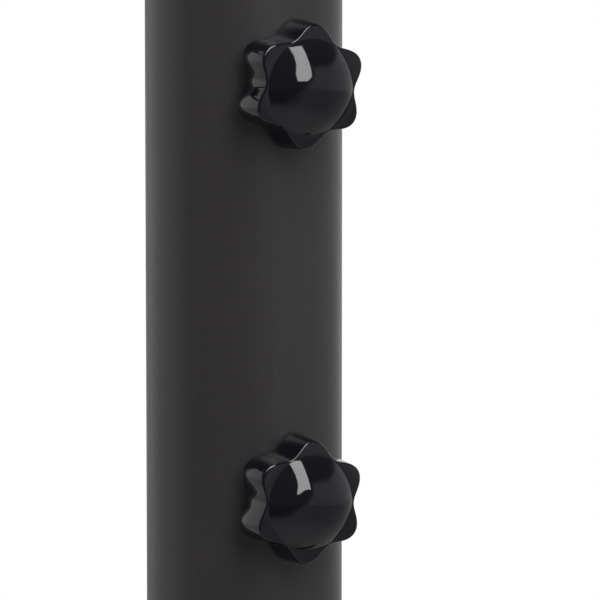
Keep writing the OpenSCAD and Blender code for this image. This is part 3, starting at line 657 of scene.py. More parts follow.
def addKnob(side, level, s):
    node = side + "_" + level + "_knob"
    low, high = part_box(node)
    lean = math.radians(s["lean"][level])
    sign = 1 if side == "right" else -1
    axisStart = Vector((low[0] if sign > 0 else high[0], rightAxis.y, (low[2] + high[2]) / 2))
    place = placeAt(axisStart, (sign, 0, 0), (0, math.sin(lean), math.cos(lean)))
    total = high[0] - low[0]
    tip = (high[2] - low[2]) / 2 / math.cos(lean)
    angles = turnsOf(s["steps"])

    def edgePoint(angle, inset):
        cycle = s["lobes"] * angle
        r = tip - s["valleyDepth"] * (1 - math.cos(cycle)) / 2
        slope = -s["valleyDepth"] * s["lobes"] * math.sin(cycle) / 2
        radial = Vector((math.cos(angle), math.sin(angle)))
        across = Vector((-math.sin(angle), math.cos(angle)))
        outward = (radial * r - across * slope).normalized()
        return radial * r - outward * inset

    frontZ = s["wall"]
    domeFoot = tip - s["valleyDepth"] - s["domeMargin"]
    domeRise = total - frontZ

    def onFront(point, fall=0.0):
        drop = s["lobeDrop"] * max(0.0, point.length - domeFoot) ** 2
        return place @ Vector((point.x, point.y, frontZ - drop - fall))

    hollow, deep = s["recess"]
    soft = s["recessRound"]
    rear = [(s["bore"], deep), (hollow - soft, deep), (hollow, deep - soft), (hollow, soft)]
    rear.append((hollow + soft, 0))
    rings = [circleRing(place, radius, height, s["steps"]) for radius, height in rear]
    for turn in (0, 22.5, 45, 67.5, 90):
        inset = s["rearRound"] * (1 - math.sin(math.radians(turn))) - s["rearDraft"]
        height = s["rearRound"] * (1 - math.cos(math.radians(turn)))
        rim = [edgePoint(a, inset) for a in angles]
        rings.append([place @ Vector((point.x, point.y, height)) for point in rim])
    for turn in (0, 18, 36, 54, 72, 90):
        inset = s["fillet"] * (1 - math.cos(math.radians(turn))) + s["frontDraft"]
        fall = s["fillet"] * (1 - math.sin(math.radians(turn)))
        rings.append([onFront(edgePoint(a, inset), fall) for a in angles])
    for t in (0.25, 0.5, 0.75, 1.0):
        ring = []
        for a in angles:
            foot = Vector((math.cos(a), math.sin(a))) * domeFoot
            ring.append(onFront(edgePoint(a, s["fillet"] + s["frontDraft"]).lerp(foot, t)))
        rings.append(ring)
    ball = (domeFoot ** 2 + domeRise ** 2) / (2 * domeRise)
    footTurn = math.asin(domeFoot / ball)
    lag = math.radians(s["sinkTurn"])
    for i in range(1, s["domeRings"] + 1):
        turn = footTurn * (1 - i / s["domeRings"])
        r = ball * math.sin(turn)
        height = frontZ + domeRise - ball * (1 - math.cos(turn))
        share = r / domeFoot
        sink = s["sink"] * share ** 2 * (1 - share) * 4
        ring = []
        for a in angles:
            wave = sink * math.cos(s["lobes"] * a + lag)
            ring.append(place @ Vector((r * math.cos(a), r * math.sin(a), height + wave)))
        rings.append(ring)
    bm = bmesh.new()
    bridge(bm, rings)
    knob = addPiece(side + level.capitalize() + "StarKnob", bm, "knob_plastic", bodyOf[node], s["sharp"])
    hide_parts(node)


for sideName in ("left", "right"):
    for levelName in ("upper", "lower"):
        addKnob(sideName, levelName, knobLook)
print("star knobs ready")


# Threaded studs, bolts and nuts

threadLook = {"steps": 24, "perTurn": 6, "depth": 0.61}      # depth is a share of the pitch


# Screw thread about a place's +Z, from one height to another, with the crest wound round it
def threadRings(place, radius, pitch, start, end, s):
    count = max(2, round((end - start) / pitch * s["perTurn"]))
    rings = []
    for i in range(count + 1):
        height = start + (end - start) * i / count
        ring = []
        for k in range(s["steps"]):
            turn = k / s["steps"]
            phase = (height / pitch - turn) % 1.0
            r = radius - s["depth"] * pitch * (1 - abs(2 * phase - 1))
            a = 2 * math.pi * turn
            ring.append(place @ Vector((r * math.cos(a), r * math.sin(a), height)))
        rings.append(ring)
    return rings


studLook = {"pitch": 0.00125, "chamfer": 0.0008, "nose": 0.0020, "noseBack": 0.0002, "step": 0.0001,
            "topRun": 0.0010}      # topRun is the plain length at the knob's end


def addStud(side, level, s):
    node = side + "_" + level + "_stud"
    low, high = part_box(node)
    sign = 1 if side == "right" else -1
    inner = low[0] if sign > 0 else high[0]
    middle = (Vector(low) + Vector(high)) / 2
    place = placeAt((inner, middle.y, middle.z), (sign, 0, 0))
    radius = (high[2] - low[2]) / 2
    length = high[0] - low[0]
    shoulder = s["nose"] + s["step"]
    steps = threadLook["steps"]
    rings = [circleRing(place, radius / 2, s["noseBack"], steps),
             circleRing(place, radius / 2, shoulder, steps),
             circleRing(place, radius - s["chamfer"], shoulder, steps)]
    start, end = shoulder + s["chamfer"], length - s["topRun"]
    rings += threadRings(place, radius, s["pitch"], start, end, threadLook)
    rings.append(circleRing(place, radius - s["chamfer"], length, steps))
    bm = bmesh.new()
    capEnds(bm, bridge(bm, rings))
    stud = addPiece(side + level.capitalize() + "Stud", bm, "zinc_steel", bodyOf[node])
    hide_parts(node)


hexLook = {"steps": 48, "sharp": 28.0, "face": 0.96, "cutFrom": 0.97, "slope": 0.55}   # shares of the flats


# Hexagon with its corners cut back to a circle, as rings from one face to the other
def hexRings(place, flats, start, end, bottomChamfer, s):
    def ring(limit, height):
        points = []
        for a in turnsOf(s["steps"]):
            r = flats / 2 / math.cos((a + math.pi / 6) % (math.pi / 3) - math.pi / 6)
            r = min(r, limit)
            points.append(place @ Vector((r * math.cos(a), r * math.sin(a), height)))
        return points

    reach = flats / 2 / math.cos(math.pi / 6)
    rise = (reach - flats / 2 * s["cutFrom"]) * s["slope"]
    chamfer = [(flats / 2 * s["face"], 0), (flats / 2, 0.35), ((reach + flats / 2) / 2, 0.7), (reach, 1)]
    if bottomChamfer:
        rings = [ring(limit, start + rise * share) for limit, share in chamfer]
    else:
        rings = [ring(reach, start)]
    return rings + [ring(limit, end - rise * share) for limit, share in reversed(chamfer)]


# Where a turned solid lies: its place with +Z towards its wide end, its length and its two radii
def boltPlace(points):
    low, high = boundsOf(points)
    size = high - low
    axis = max(range(3), key=lambda i: size[i])
    middle = (low + high) / 2
    ends = []
    for edge in (low[axis], high[axis]):
        near = [p - middle for p in points if abs(p[axis] - edge) < 0.001]
        for offset in near:
            offset[axis] = 0
        ends.append(max(offset.length for offset in near))
    wideEnd = 1 if ends[1] > ends[0] else -1
    along = Vector([wideEnd if i == axis else 0 for i in range(3)])
    origin = middle - along * size[axis] / 2
    return placeAt(origin, along), size[axis], ends


boltSizes = {                       # by shank radius: flats, head height, thread pitch, nut height
    0.005: {"flats": 0.016, "head": 0.0064, "pitch": 0.0015, "nut": 0.0084},
    0.004: {"flats": 0.013, "head": 0.0053, "pitch": 0.00125, "nut": 0.0068},
}
boltLook = {"point": 0.0010, "pointRun": 0.0007, "pastNut": 0.008, "runOut": 0.0006, "steps": 24,
            "washer": 0.47, "washerThick": 0.0004, "dish": (0.36, 0.32), "dishDeep": 0.0004,
            "play": 0.00015, "lead": 0.0008}     # washer and dish are shares of the flats


def addBolts(name, node, s):
    bm = bmesh.new()
    for points in solidsOf(node):
        place, length, ends = boltPlace(points)
        shank = min(boltSizes, key=lambda r: abs(r - min(ends)))
        size = boltSizes[shank]
        flats = size["flats"]
        seat = length - size["head"]
        threadEnd = size["nut"] + s["pastNut"]
        rings = [circleRing(place, shank - s["point"], 0, s["steps"])]
        rings += threadRings(place, shank, size["pitch"], s["pointRun"], threadEnd, threadLook)
        rings.append(circleRing(place, shank, threadEnd + s["runOut"], s["steps"]))
        rings.append(circleRing(place, shank, seat, s["steps"]))
        capEnds(bm, bridge(bm, rings))
        face = seat + s["washerThick"]
        rings = [circleRing(place, flats * s["washer"], seat, hexLook["steps"])]
        rings.append(circleRing(place, flats * s["washer"], face, hexLook["steps"]))
        rings += hexRings(place, flats, face, length, False, hexLook)
        rings.append(circleRing(place, flats * s["dish"][0], length, hexLook["steps"]))
        rings.append(circleRing(place, flats * s["dish"][1], length - s["dishDeep"], hexLook["steps"]))
        capEnds(bm, bridge(bm, rings))
    bolts = addPiece(name, bm, "zinc_steel", bodyOf[node], hexLook["sharp"])
    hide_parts(node)


def addNuts(name, node, s):
    bm = bmesh.new()
    for points in solidsOf(node):
        low, high = boundsOf(points)
        size = high - low
        axis = min(range(3), key=lambda i: size[i])
        thick = size[axis]
        along = Vector([1 if i == axis else 0 for i in range(3)])
        shank = min(boltSizes, key=lambda r: abs(boltSizes[r]["nut"] - thick))
        place = placeAt((low + high) / 2 - along * thick / 2, along)
        bore, lead = shank + s["play"], s["lead"]
        rings = hexRings(place, boltSizes[shank]["flats"], 0, thick, True, hexLook)
        rings += [circleRing(place, radius, height, hexLook["steps"]) for radius, height in (
            (bore + lead, thick), (bore, thick - lead), (bore, lead), (bore + lead, 0))]
        bridge(bm, rings + rings[:1])
    nuts = addPiece(name, bm, "zinc_steel", bodyOf[node], hexLook["sharp"])
    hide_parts(node)


for sideName in ("left", "right"):
    for levelName in ("upper", "lower"):
        addStud(sideName, levelName, studLook)
addBolts("baseHexBolts", "base_bolts", boltLook)
addBolts("frameHexBolts", "frame_bolts", boltLook)
addNuts("baseHexNuts", "base_nuts", boltLook)
addNuts("frameHexNuts", "frame_nuts", boltLook)
print("fasteners ready")


# Floor feet and their soles

footLook = {"round": 0.0065, "corner": 7.0, "lip": 0.0015, "collar": 0.009, "steps": 96, "sharp": 42.0,
            "wall": 0.006, "edge": 0.0012, "leadIn": (0.004, 0.0010), "play": 0.0002,
            "mark": 0.55, "markRim": 0.52, "markDeep": 0.0008}   # mark is the shallow panel in the end


# Outline of a foot seen along its skid: round above, squared off below
def footRadius(angle, top, halfWidth, corner):
    side, down = abs(math.cos(angle)) / halfWidth, -math.sin(angle) / top
    if down <= 0:
        return top
    squared = (side ** corner + down ** corner) ** (-1 / corner)
    return max(top, squared)


def addFoot(node, s):
    low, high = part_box(node)
    top = (high[0] - low[0]) / 2
    centre = Vector(((low[0] + high[0]) / 2, 0, high[2] - top))
    end = 1 if high[1] > 0 else -1
    openY, closedY = (low[1], high[1]) if end > 0 else (high[1], low[1])
    bore = top - s["wall"]

    def ring(y, inset, scale=1.0):
        points = []
        for a in turnsOf(s["steps"]):
            r = (footRadius(a, top, bore, s["corner"]) - inset) * scale
            points.append(Vector((centre.x + r * math.cos(a), y, centre.z + r * math.sin(a))))
        return points

    def boreRing(y, r):
        points = []
        for a in turnsOf(s["steps"]):
            points.append(Vector((centre.x + r * math.cos(a), y, centre.z + r * math.sin(a))))
        return points

    lip, soft, edge = s["lip"], s["round"], s["edge"]
    collarEnd = openY + end * s["collar"]
    panel = closedY - end * s["markDeep"]
    leadLong, leadWide = s["leadIn"]
    rings = [boreRing(openY + end * leadLong, bore + s["play"]), boreRing(openY, bore + leadWide)]
    rings += [ring(openY, edge), ring(openY + end * edge, 0), ring(collarEnd - end * edge, 0)]
    rings += [ring(collarEnd, lip * 0.5), ring(collarEnd + end * edge, lip)]
    rings.append(ring((openY + closedY) / 2, lip))
    for turn in range(0, 91, 15):
        inset = lip + soft * (1 - math.cos(math.radians(turn)))
        rings.append(ring(closedY - end * soft * (1 - math.sin(math.radians(turn))), inset))
    rings += [ring(closedY, 0, s["mark"]), ring(panel, 0, s["markRim"]), ring(panel, 0, 0.0)]
    bm = bmesh.new()
    bridge(bm, rings)
    label = "".join(word.capitalize() if i else word for i, word in enumerate(node.split("_")))
    foot = addPiece(label + "Cap", bm, "moulded_plastic", bodyOf[node], s["sharp"])
    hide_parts(node)


soleLook = {"rib": 0.0070, "groove": 0.0022, "deep": 0.0014, "edge": 0.0010, "topEdge": 0.0003,
            "slope": 0.0004, "ends": 0.004, "shrink": 0.97, "sharp": 30.0}


# One sole: a ribbed underside swept across its width, with softened rims
def soleRings(low, high, s):
    edge, topEdge, groove, deep = s["edge"], s["topEdge"], s["groove"], low.z + s["deep"]
    count = int((high.y - low.y - s["ends"]) / s["rib"])
    margin = (high.y - low.y - count * s["rib"] + groove) / 2
    outline = [(low.y + edge, low.z)]
    for i in range(count):
        start = low.y + margin + i * s["rib"] + s["rib"] - groove
        if start + groove > high.y - 2 * edge:
            break
        outline += [(start, low.z), (start + s["slope"], deep)]
        outline += [(start + groove - s["slope"], deep), (start + groove, low.z)]
    outline += [(high.y - edge, low.z), (high.y, low.z + edge)]
    outline += [(high.y, high.z - topEdge), (high.y - topEdge, high.z)]
    outline += [(low.y + topEdge, high.z), (low.y, high.z - topEdge), (low.y, low.z + edge)]
    middleY, middleZ = (low.y + high.y) / 2, (low.z + high.z) / 2
    rings = []
    for x, share in ((low.x, s["shrink"]), (low.x + edge, 1), (high.x - edge, 1), (high.x, s["shrink"])):
        ring = []
        for y, z in outline:
            inY, inZ = middleY + (y - middleY) * share, middleZ + (z - middleZ) * share
            ring.append(Vector((x, inY, max(low.z, inZ))))
        rings.append(ring)
    return rings


for footNode in ("front_left_foot", "front_right_foot", "rear_left_foot", "rear_right_foot"):
    addFoot(footNode, footLook)
soleMesh = bmesh.new()
for solePoints in solidsOf("foot_soles"):
    soleLow, soleHigh = boundsOf(solePoints)
    capEnds(soleMesh, bridge(soleMesh, soleRings(soleLow, soleHigh, soleLook)))
soles = addPiece("ribbedSoles", soleMesh, "sole_rubber", bodyOf["foot_soles"], soleLook["sharp"])
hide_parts("foot_soles")
print("feet ready")


# Foam grips

gripLook = {"endRound": 0.0026, "wall": 0.0050, "play": 0.00015, "lead": (0.0006, 0.0008), "step": 0.004,
            "steps": 56, "unevenness": 0.00018, "lumps": 55.0, "sharp": 60.0}     # lumps per metre


# Sleeve of foam along a path of places, whose ends are rounded over and rest on the tube
def addGrip(node, name, path, radius, s):
    last = len(path) - 1
    soft = s["endRound"]
    bore = radius - s["wall"] + s["play"]
    leadLong, leadWide = s["lead"]
    turns = [math.radians(turn) for turn in range(0, 91, 15)]
    roundings = [(soft * (1 - math.sin(t)), radius - soft * (1 - math.cos(t))) for t in turns]
    profile = [(0, leadLong, bore), (0, 0, bore + leadWide)]     # index in the path, shift along it, radius
    profile += [(0, inward, r) for inward, r in reversed(roundings)]
    profile += [(i, 0, radius) for i in range(1, last)]
    profile += [(last, -inward, r) for inward, r in roundings]
    profile += [(last, 0, bore + leadWide), (last, -leadLong, bore)]
    rings = []
    for index, shift, r in profile:
        place = path[index]
        ring = []
        for a in turnsOf(s["steps"]):
            spot = place @ Vector((r * math.cos(a), r * math.sin(a), shift))
            if r > bore + 0.001:       # the bore stays round
                swell = noise.noise(spot * s["lumps"]) * s["unevenness"]
                spot = place @ Vector(((r + swell) * math.cos(a), (r + swell) * math.sin(a), shift))
            ring.append(spot)
        rings.append(ring)
    bm = bmesh.new()
    bridge(bm, rings)
    grip = addPiece(name, bm, "grip_foam", bodyOf[node], s["sharp"])
    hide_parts(node)


def straightPath(start, end, step):
    along = end - start
    count = max(2, round(along.length / step))
    return [placeAt(start + along * i / count, along) for i in range(count + 1)]


# The pull-up bar's ends bend down after its level middle, and the grips cover all but the last degree
neckPlate = 0.096
barCurve = {"droop": 30.0, "gap": 1.0, "turn": 22.0, "radius": 0.320, "middle": 0.370,
            "depth": centreOf("left_pull_up_grip").y, "height": cadHigh.z - neckPlate / 2}


# The place at one angle along the curved end of the pull-up bar, with +Z outwards
def onBarEnd(sign, degrees, curve):
    a = math.radians(degrees)
    x = curve["middle"] + curve["radius"] * math.sin(a)
    z = curve["height"] - curve["radius"] * (1 - math.cos(a))
    return placeAt((sign * x, curve["depth"], z), (sign * math.cos(a), 0, -math.sin(a)), (0, 1, 0))


# Places along the part of the curve that the grip covers
def barEndPath(sign, step, curve):
    start = curve["droop"] - curve["gap"] - curve["turn"]
    count = round(math.radians(curve["turn"]) * curve["radius"] / step)
    return [onBarEnd(sign, start + curve["turn"] * i / count, curve) for i in range(count + 1)]


for sideName, sideSign in (("left", -1), ("right", 1)):
    for kind, label, axis in (("_push_up_grip", "PushUpFoam", 1), ("_dip_grip", "DipFoam", 2)):
        gripStart, gripEnd = centreOf(sideName + kind), centreOf(sideName + kind)
        gripStart[axis], gripEnd[axis] = (corner[axis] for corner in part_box(sideName + kind))
        path = straightPath(gripStart, gripEnd, gripLook["step"])
        addGrip(sideName + kind, sideName + label, path, sizeOf(sideName + kind).x / 2, gripLook)
    path = barEndPath(sideSign, gripLook["step"], barCurve)
    gripNode = sideName + "_pull_up_grip"
    addGrip(gripNode, sideName + "PullUpFoam", path, sizeOf(gripNode).y / 2, gripLook)
print("grips ready")


# End plugs

plugLook = {"rim": 0.0014, "dome": 0.0016, "thick": 0.006, "stem": 0.014, "inTube": 0.0040,
            "stemLead": 0.0006, "edge": 0.0004, "domeRings": 7, "steps": 56}


# Domed round plug: its rim stands on the tube's end and its stem goes in
def roundPlug(bm, place, radius, s):
    rim, edge, lead = s["rim"], s["edge"], s["stemLead"]
    stem = radius - s["inTube"]
    edgeTop = s["thick"] - s["dome"]
    profile = [(0, -s["stem"]), (stem - lead, -s["stem"]), (stem, -s["stem"] + lead)]
    profile += [(stem, 0), (radius - edge, 0), (radius, edge)]
    profile += roundEdge((radius - rim, edgeTop - rim), rim, 0, 80)
    for i in range(1, s["domeRings"] + 1):
        t = i / s["domeRings"]
        profile.append(((radius - rim) * (1 - t), edgeTop + s["dome"] * (1 - (1 - t) ** 2)))
    turnShape(bm, place, profile, s["steps"])


def addRoundPlugs(name, node, places, radius, s):
    bm = bmesh.new()
    for place in places:
        roundPlug(bm, place, radius, s)
    plugs = addPiece(name, bm, "moulded_plastic", bodyOf[node])
    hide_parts(node)


armPlaces = []
armPlugs = [boundsOf(points) for points in solidsOf("dip_arm_plugs")]
for low, high in armPlugs:
    onTube = (low + high) / 2
    onTube.z = high.z - plugLook["thick"]
    armPlaces.append(placeAt(onTube, (0, 0, 1)))
armPlugRadius = (armPlugs[-1][1].x - armPlugs[-1][0].x) / 2
addRoundPlugs("dipArmEndPlugs", "dip_arm_plugs", armPlaces, armPlugRadius, plugLook)
barPlaces = [onBarEnd(sign, barCurve["droop"], barCurve) for sign in (-1, 1)]
addRoundPlugs("barEndPlugs", "pull_up_bar_plugs", barPlaces, sizeOf("pull_up_bar_plugs").y / 2, plugLook)


# Outline of a rounded rectangle, inset evenly, with the same points at every inset
def rectPoints(width, height, corner, inset, perCorner, perSide=1):
    r = max(corner - inset, 0.0004)          # a corner never closes up
    halfW, halfH = width / 2 - inset, height / 2 - inset
    outline = []
    for quarter, (sx, sy) in enumerate(((1, 1), (-1, 1), (-1, -1), (1, -1))):
        for i in range(perCorner + 1):
            a = math.radians(90 * quarter + 90 * i / perCorner)
            x = sx * (halfW - r) + r * math.cos(a)
            y = sy * (halfH - r) + r * math.sin(a)
            outline.append(Vector((x, y)))
    if perSide == 1:
        return outline
    filled = []
    for i, point in enumerate(outline):
        filled.append(point)
        if (i + 1) % (perCorner + 1) == 0:
            following = outline[(i + 1) % len(outline)]
            filled += [point.lerp(following, k / perSide) for k in range(1, perSide)]
    return filled


# Square cap: its profile of (inset, height) runs from the foot of its stem up to its face
capLook = {
    "profile": [(0.0022, -0.017), (0.0022, -0.003), (0.0002, -0.003), (0, -0.0026), (0, -0.0012),
                (0.00035, -0.0005), (0.0012, -0.0001), (0.0030, 0)],
    "corner": 0.0025,
    "cornerSteps": 5,
    "sharp": 50.0,
}


def addCrossbarPlugs(node, s):
    bm = bmesh.new()
    for points in solidsOf(node):
        low, high = boundsOf(points)
        size = high - low
        middle = (low + high) / 2
        sign = 1 if high.x > 0 else -1
        face = (high.x if sign > 0 else low.x, middle.y, middle.z)
        place = placeAt(face, (sign, 0, 0), (0, 1, 0))
        rings = []
        for inset, height in s["profile"]:
            ring = rectPoints(size.y, size.z, s["corner"], inset, s["cornerSteps"])
            rings.append([place @ Vector((p.x, p.y, height)) for p in ring])
        capEnds(bm, bridge(bm, rings))
    plugs = addPiece("crossbarEndCaps", bm, "moulded_plastic", bodyOf[node], s["sharp"])
    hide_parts(node)


addCrossbarPlugs("crossbar_plugs", capLook)
print("plugs ready")


# Cushions: padded vinyl, swollen by simulation and held to its board

padLook = {
    "cell": 0.0050,          # of the even mesh that is swollen
    "shrink": 0.0045,        # how much smaller it starts than it ends
    "baseShare": 0.25,       # share of the height over which the sides draw in
    "baseCorner": 0.0085,
    "topCorner": 0.0100,     # added to the corner further up
    "cornerSoft": 0.2,       # share of the top's rounding that is added to it too
    "topRound": 0.016,
    "cornerSteps": 8,
    "sideSteps": 12,
    "waist": 0.0040,         # how far the sides pull in between the corners
    "crown": 0.004,
    "pressure": 4.0,
    "frames": 20,
    "cap": 0.009,            # the furthest that a point may swell
    "proud": 0.0030,         # how far the pad may stand past its nominal block
    "free": (0.72, 0.84, 0.55),       # shares of that block, across, along and up, left as they swell
    "pleat": 0.0007,
    "pleats": 18.0,
    "pleatWander": (40.0, 2.0),       # per metre, and how far it bends the pleats
    "pleatReach": 0.045,
    "pleatHeight": 0.75,     # share of the thickness
    "lifted": 0.35,          # share of the thickness over which the base gives way to the limits
    "underside": 0.0002,
}


# A pad in its own frame: base on z = 0, top at its thickness, sides drawn in between the corners
def padBlock(width, length, thick, s):
    top = thick - s["shrink"]
    soft = s["topRound"]
    baseTop = top * s["baseShare"]
    profile = [(0, 0), (0, baseTop), (0, top - soft)]
    for turn in (18, 36, 54, 72, 90):
        t = math.radians(turn)
        profile.append((soft * (1 - math.cos(t)), top - soft * (1 - math.sin(t))))
    rings = []
    for inset, height in profile:
        lift = min(1.0, height / baseTop)
        corner = s["baseCorner"] + s["topCorner"] * lift + soft * s["cornerSoft"]
        side = inset + s["shrink"] * lift
        outline = rectPoints(width, length, corner, side, s["cornerSteps"], s["sideSteps"])
        rings.append([Vector((p.x, p.y, height)) for p in outline])
    bm = bmesh.new()
    capEnds(bm, bridge(bm, rings))
    bmesh.ops.triangulate(bm, faces=[f for f in bm.faces if len(f.verts) > 4])
    mesh = bpy.data.meshes.new("padBlock")
    bm.to_mesh(mesh)
    bm.free()
    return mesh


def meshAfter(obj):
    bpy.context.view_layer.update()
    return bpy.data.meshes.new_from_object(obj.evaluated_get(bpy.context.evaluated_depsgraph_get()))


vinylCloth = {"quality": 6, "mass": 0.35, "tension_stiffness": 12, "compression_stiffness": 12,
              "shear_stiffness": 4, "bending_stiffness": 3.0, "use_pressure": True}


def swell(pad, held, s):
    pad.vertex_groups.new(name="held").add(held, 1.0, "REPLACE")
    start = [v.co.copy() for v in pad.data.vertices]
    cloth = pad.modifiers.new("swelling", "CLOTH")
    for setting, value in vinylCloth.items():
        setattr(cloth.settings, setting, value)
    cloth.settings.uniform_pressure_force = s["pressure"]
    cloth.settings.effector_weights.gravity = 0
    cloth.settings.vertex_group_mass = "held"
    cloth.collision_settings.use_collision = False
    cloth.point_cache.frame_start = 1
    cloth.point_cache.frame_end = s["frames"]
    for f in range(1, s["frames"] + 1):
        bpy.context.scene.frame_set(f)
    moved = meshAfter(pad)
    pad.modifiers.remove(cloth)
    for vert, old, new in zip(pad.data.vertices, start, moved.vertices):
        step = new.co - old
        if step.length > s["cap"]:
            step = step * s["cap"] / step.length
        vert.co = old + step
    bpy.data.meshes.remove(moved)
    bpy.context.scene.frame_set(1)


# Folds that run down the sides near each corner, deepest at the board
def cornerPleat(point, width, length, thick, s):
    toCorner = Vector((width / 2 - abs(point.x), length / 2 - abs(point.y)))
    near = max(0.0, 1 - toCorner.length / s["pleatReach"])
    side = max(0.0, 1 - point.z / (thick * s["pleatHeight"]))
    angle = math.atan2(toCorner.y + 0.004, toCorner.x + 0.004)      # from just outside the corner
    often, far = s["pleatWander"]
    wave = math.sin(angle * s["pleats"] + noise.noise(point * often) * far)
    return wave * s["pleat"] * near * side


# Leaves small values alone and eases larger ones towards a limit
def softLimit(value, limit, free):
    start = limit * free
    if abs(value) < start:
        return value
    room = limit - start
    return math.copysign(start + room * math.tanh((abs(value) - start) / room), value)


def addPad(name, node, place, width, length, thick, s):
    start = bpy.data.objects.new("padStart", padBlock(width, length, thick, s))
    bpy.context.scene.collection.objects.link(start)
    remesh = start.modifiers.new("evenCells", "REMESH")
    remesh.mode = "VOXEL"
    remesh.voxel_size = s["cell"]
    mesh = meshAfter(start)
    bpy.data.objects.remove(start)
    pad = bpy.data.objects.new(name, mesh)
    bpy.context.scene.collection.objects.link(pad)
    for vert in mesh.vertices:
        x, y, z = vert.co
        reach = min(1.0, max(0.0, z / thick))
        midWidth = max(0.0, 1 - (2 * x / width) ** 2)
        midLength = max(0.0, 1 - (2 * y / length) ** 2)
        vert.co.x -= math.copysign(s["waist"] * reach * midLength, x) * abs(2 * x / width)
        vert.co.y -= math.copysign(s["waist"] * reach * midWidth, y) * abs(2 * y / length)
        vert.co.z += s["crown"] * midWidth * midLength * reach ** 3
    held = [v.index for v in mesh.vertices if v.co.z < s["cell"] * 0.8]
    swell(pad, held, s)
    freeWidth, freeLength, freeHeight = s["free"]
    for vert in mesh.vertices:
        point = vert.co
        lift = min(1.0, max(0.0, point.z / (s["lifted"] * thick)))
        outward = Vector((point.x, point.y, 0)).normalized()
        point += outward * cornerPleat(point, width, length, thick, s)
        point.x += (softLimit(point.x, width / 2 + s["proud"], freeWidth) - point.x) * lift
        point.y += (softLimit(point.y, length / 2 + s["proud"], freeLength) - point.y) * lift
        point.z = max(s["underside"], softLimit(point.z, thick + s["proud"], freeHeight))
    mesh.transform(place)
    mesh.materials.clear()
    mesh.materials.append(finishes["vinyl"])
    mesh.shade_smooth()
    smooth = pad.modifiers.new("smooth", "SUBSURF")
    smooth.levels = 1
    smooth.render_levels = 1
    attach(pad, bodyOf[node])
    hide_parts(node)


wrapLook = {"off": 0.0007, "turnIn": 0.022, "edge": 0.0016, "under": (0.016, 0.0003), "corner": 0.008,
            "cornerSteps": 10, "sideSteps": 16, "gather": 0.0008, "gathers": 190.0, "gatherReach": 0.040,
            "ripple": 0.0002, "ripples": 60.0, "sharp": 70.0}
stapleLook = {"pitch": 0.026, "inset": 0.014, "crown": 0.0110, "wire": 0.0006, "flat": 0.6, "sunk": 0.4,
              "leg": 0.0010, "bend": 0.0004, "bendDrop": 0.0002, "tilt": 9.0, "steps": 8}


# Vinyl drawn over a board's edge and turned in on its back, with gathers at the corners
def addWrap(name, node, place, width, length, thick, s):
    off, edge, turnIn = s["off"], s["edge"], s["turnIn"]
    back = -thick - off
    profile = [s["under"], (0.0020, 0.0004), (-off * 0.5, 0.0002), (-off, -0.0006), (-off, -thick * 0.5),
               (-off, back + edge), (-off + edge * 0.3, back + edge * 0.3), (-off + edge, back)]
    profile += [(turnIn * t, back) for t in (0.25, 0.5, 0.75, 0.96)]
    profile += [(turnIn, -thick - off * 0.6), (turnIn, -thick - 0.0001)]
    rings = []
    for inset, height in profile:
        ring = []
        for p in rectPoints(width, length, s["corner"], inset, s["cornerSteps"], s["sideSteps"]):
            drop = 0.0
            if height < -thick:
                toCorner = Vector((width / 2 - abs(p.x), length / 2 - abs(p.y))).length
                near = max(0.0, 1 - toCorner / s["gatherReach"])
                drop = near * s["gather"] * (1 + math.sin(math.atan2(p.y, p.x) * s["gathers"]))
                drop += noise.noise(Vector((p.x, p.y, height)) * s["ripples"]) * s["ripple"]
            ring.append(place @ Vector((p.x, p.y, height - drop)))
        rings.append(ring)
    bm = bmesh.new()
    bridge(bm, rings)
    addPiece(name, bm, "vinyl", bodyOf[node], s["sharp"])


def addStaples(name, node, place, width, length, thick, s, seed):
    w, h = width - 2 * s["inset"], length - 2 * s["inset"]
    spots = []
    for span, across, upright in ((h, w, True), (w, h, False)):
        count = round(span / s["pitch"])
        for i in range(1, count):
            along = -span / 2 + span * i / count
            for side in (-across / 2, across / 2):
                spots.append((side, along, 90) if upright else (along, side, 0))
    half, bend = s["crown"] / 2, s["crown"] / 2 - s["bend"]
    wirePath = [(-half, s["leg"]), (-half, s["bendDrop"]), (-bend, 0), (bend, 0), (half, s["bendDrop"]),
                (half, s["leg"])]
    depth = -thick - wrapLook["off"] - s["wire"] * s["sunk"]
    bm = bmesh.new()
    for index, (x, y, angle) in enumerate(spots):
        wobble = noise.noise(Vector((index * 1.7, seed, 0.3)))
        spin = Matrix.Rotation(math.radians(angle + s["tilt"] * wobble), 4, "Z")
        spot = place @ Matrix.Translation((x, y, depth)) @ spin
        rings = []
        for t, drop in wirePath:
            ring = []
            for a in turnsOf(s["steps"]):
                section = Vector((0, s["wire"] * math.cos(a), s["wire"] * s["flat"] * math.sin(a)))
                ring.append(spot @ (Vector((t, 0, drop)) + section))
            rings.append(ring)
        capEnds(bm, bridge(bm, rings))
    addPiece(name, bm, "zinc_steel", bodyOf[node])


# Each pad faces along its last entry, and its place has +Z that way and +Y along its length
padSpots = [("back", "back_cushion", "back_board", (0, -1, 0)),
            ("leftArm", "left_arm_cushion", "left_arm_board", (0, 0, 1)),
            ("rightArm", "right_arm_cushion", "right_arm_board", (0, 0, 1))]
for seed, (label, padNode, boardNode, outward) in enumerate(padSpots):
    padSize, boardSize = sizeOf(padNode), sizeOf(boardNode)
    padAxis = max(range(3), key=lambda i: abs(outward[i]))
    lengthAxis = 2 if padAxis == 1 else 1
    seat = centreOf(padNode) - Vector(outward) * padSize[padAxis] / 2
    place = placeAt(seat, outward, (1, 0, 0))
    width, length = padSize.x, padSize[lengthAxis]
    boardThick = boardSize[padAxis]
    addPad(label + "Cushion", padNode, place, width, length, padSize[padAxis], padLook)
    addWrap(label + "VinylWrap", boardNode, place, width, length, boardThick, wrapLook)
    addStaples(label + "Staples", boardNode, place, width, length, boardThick, stapleLook, seed)
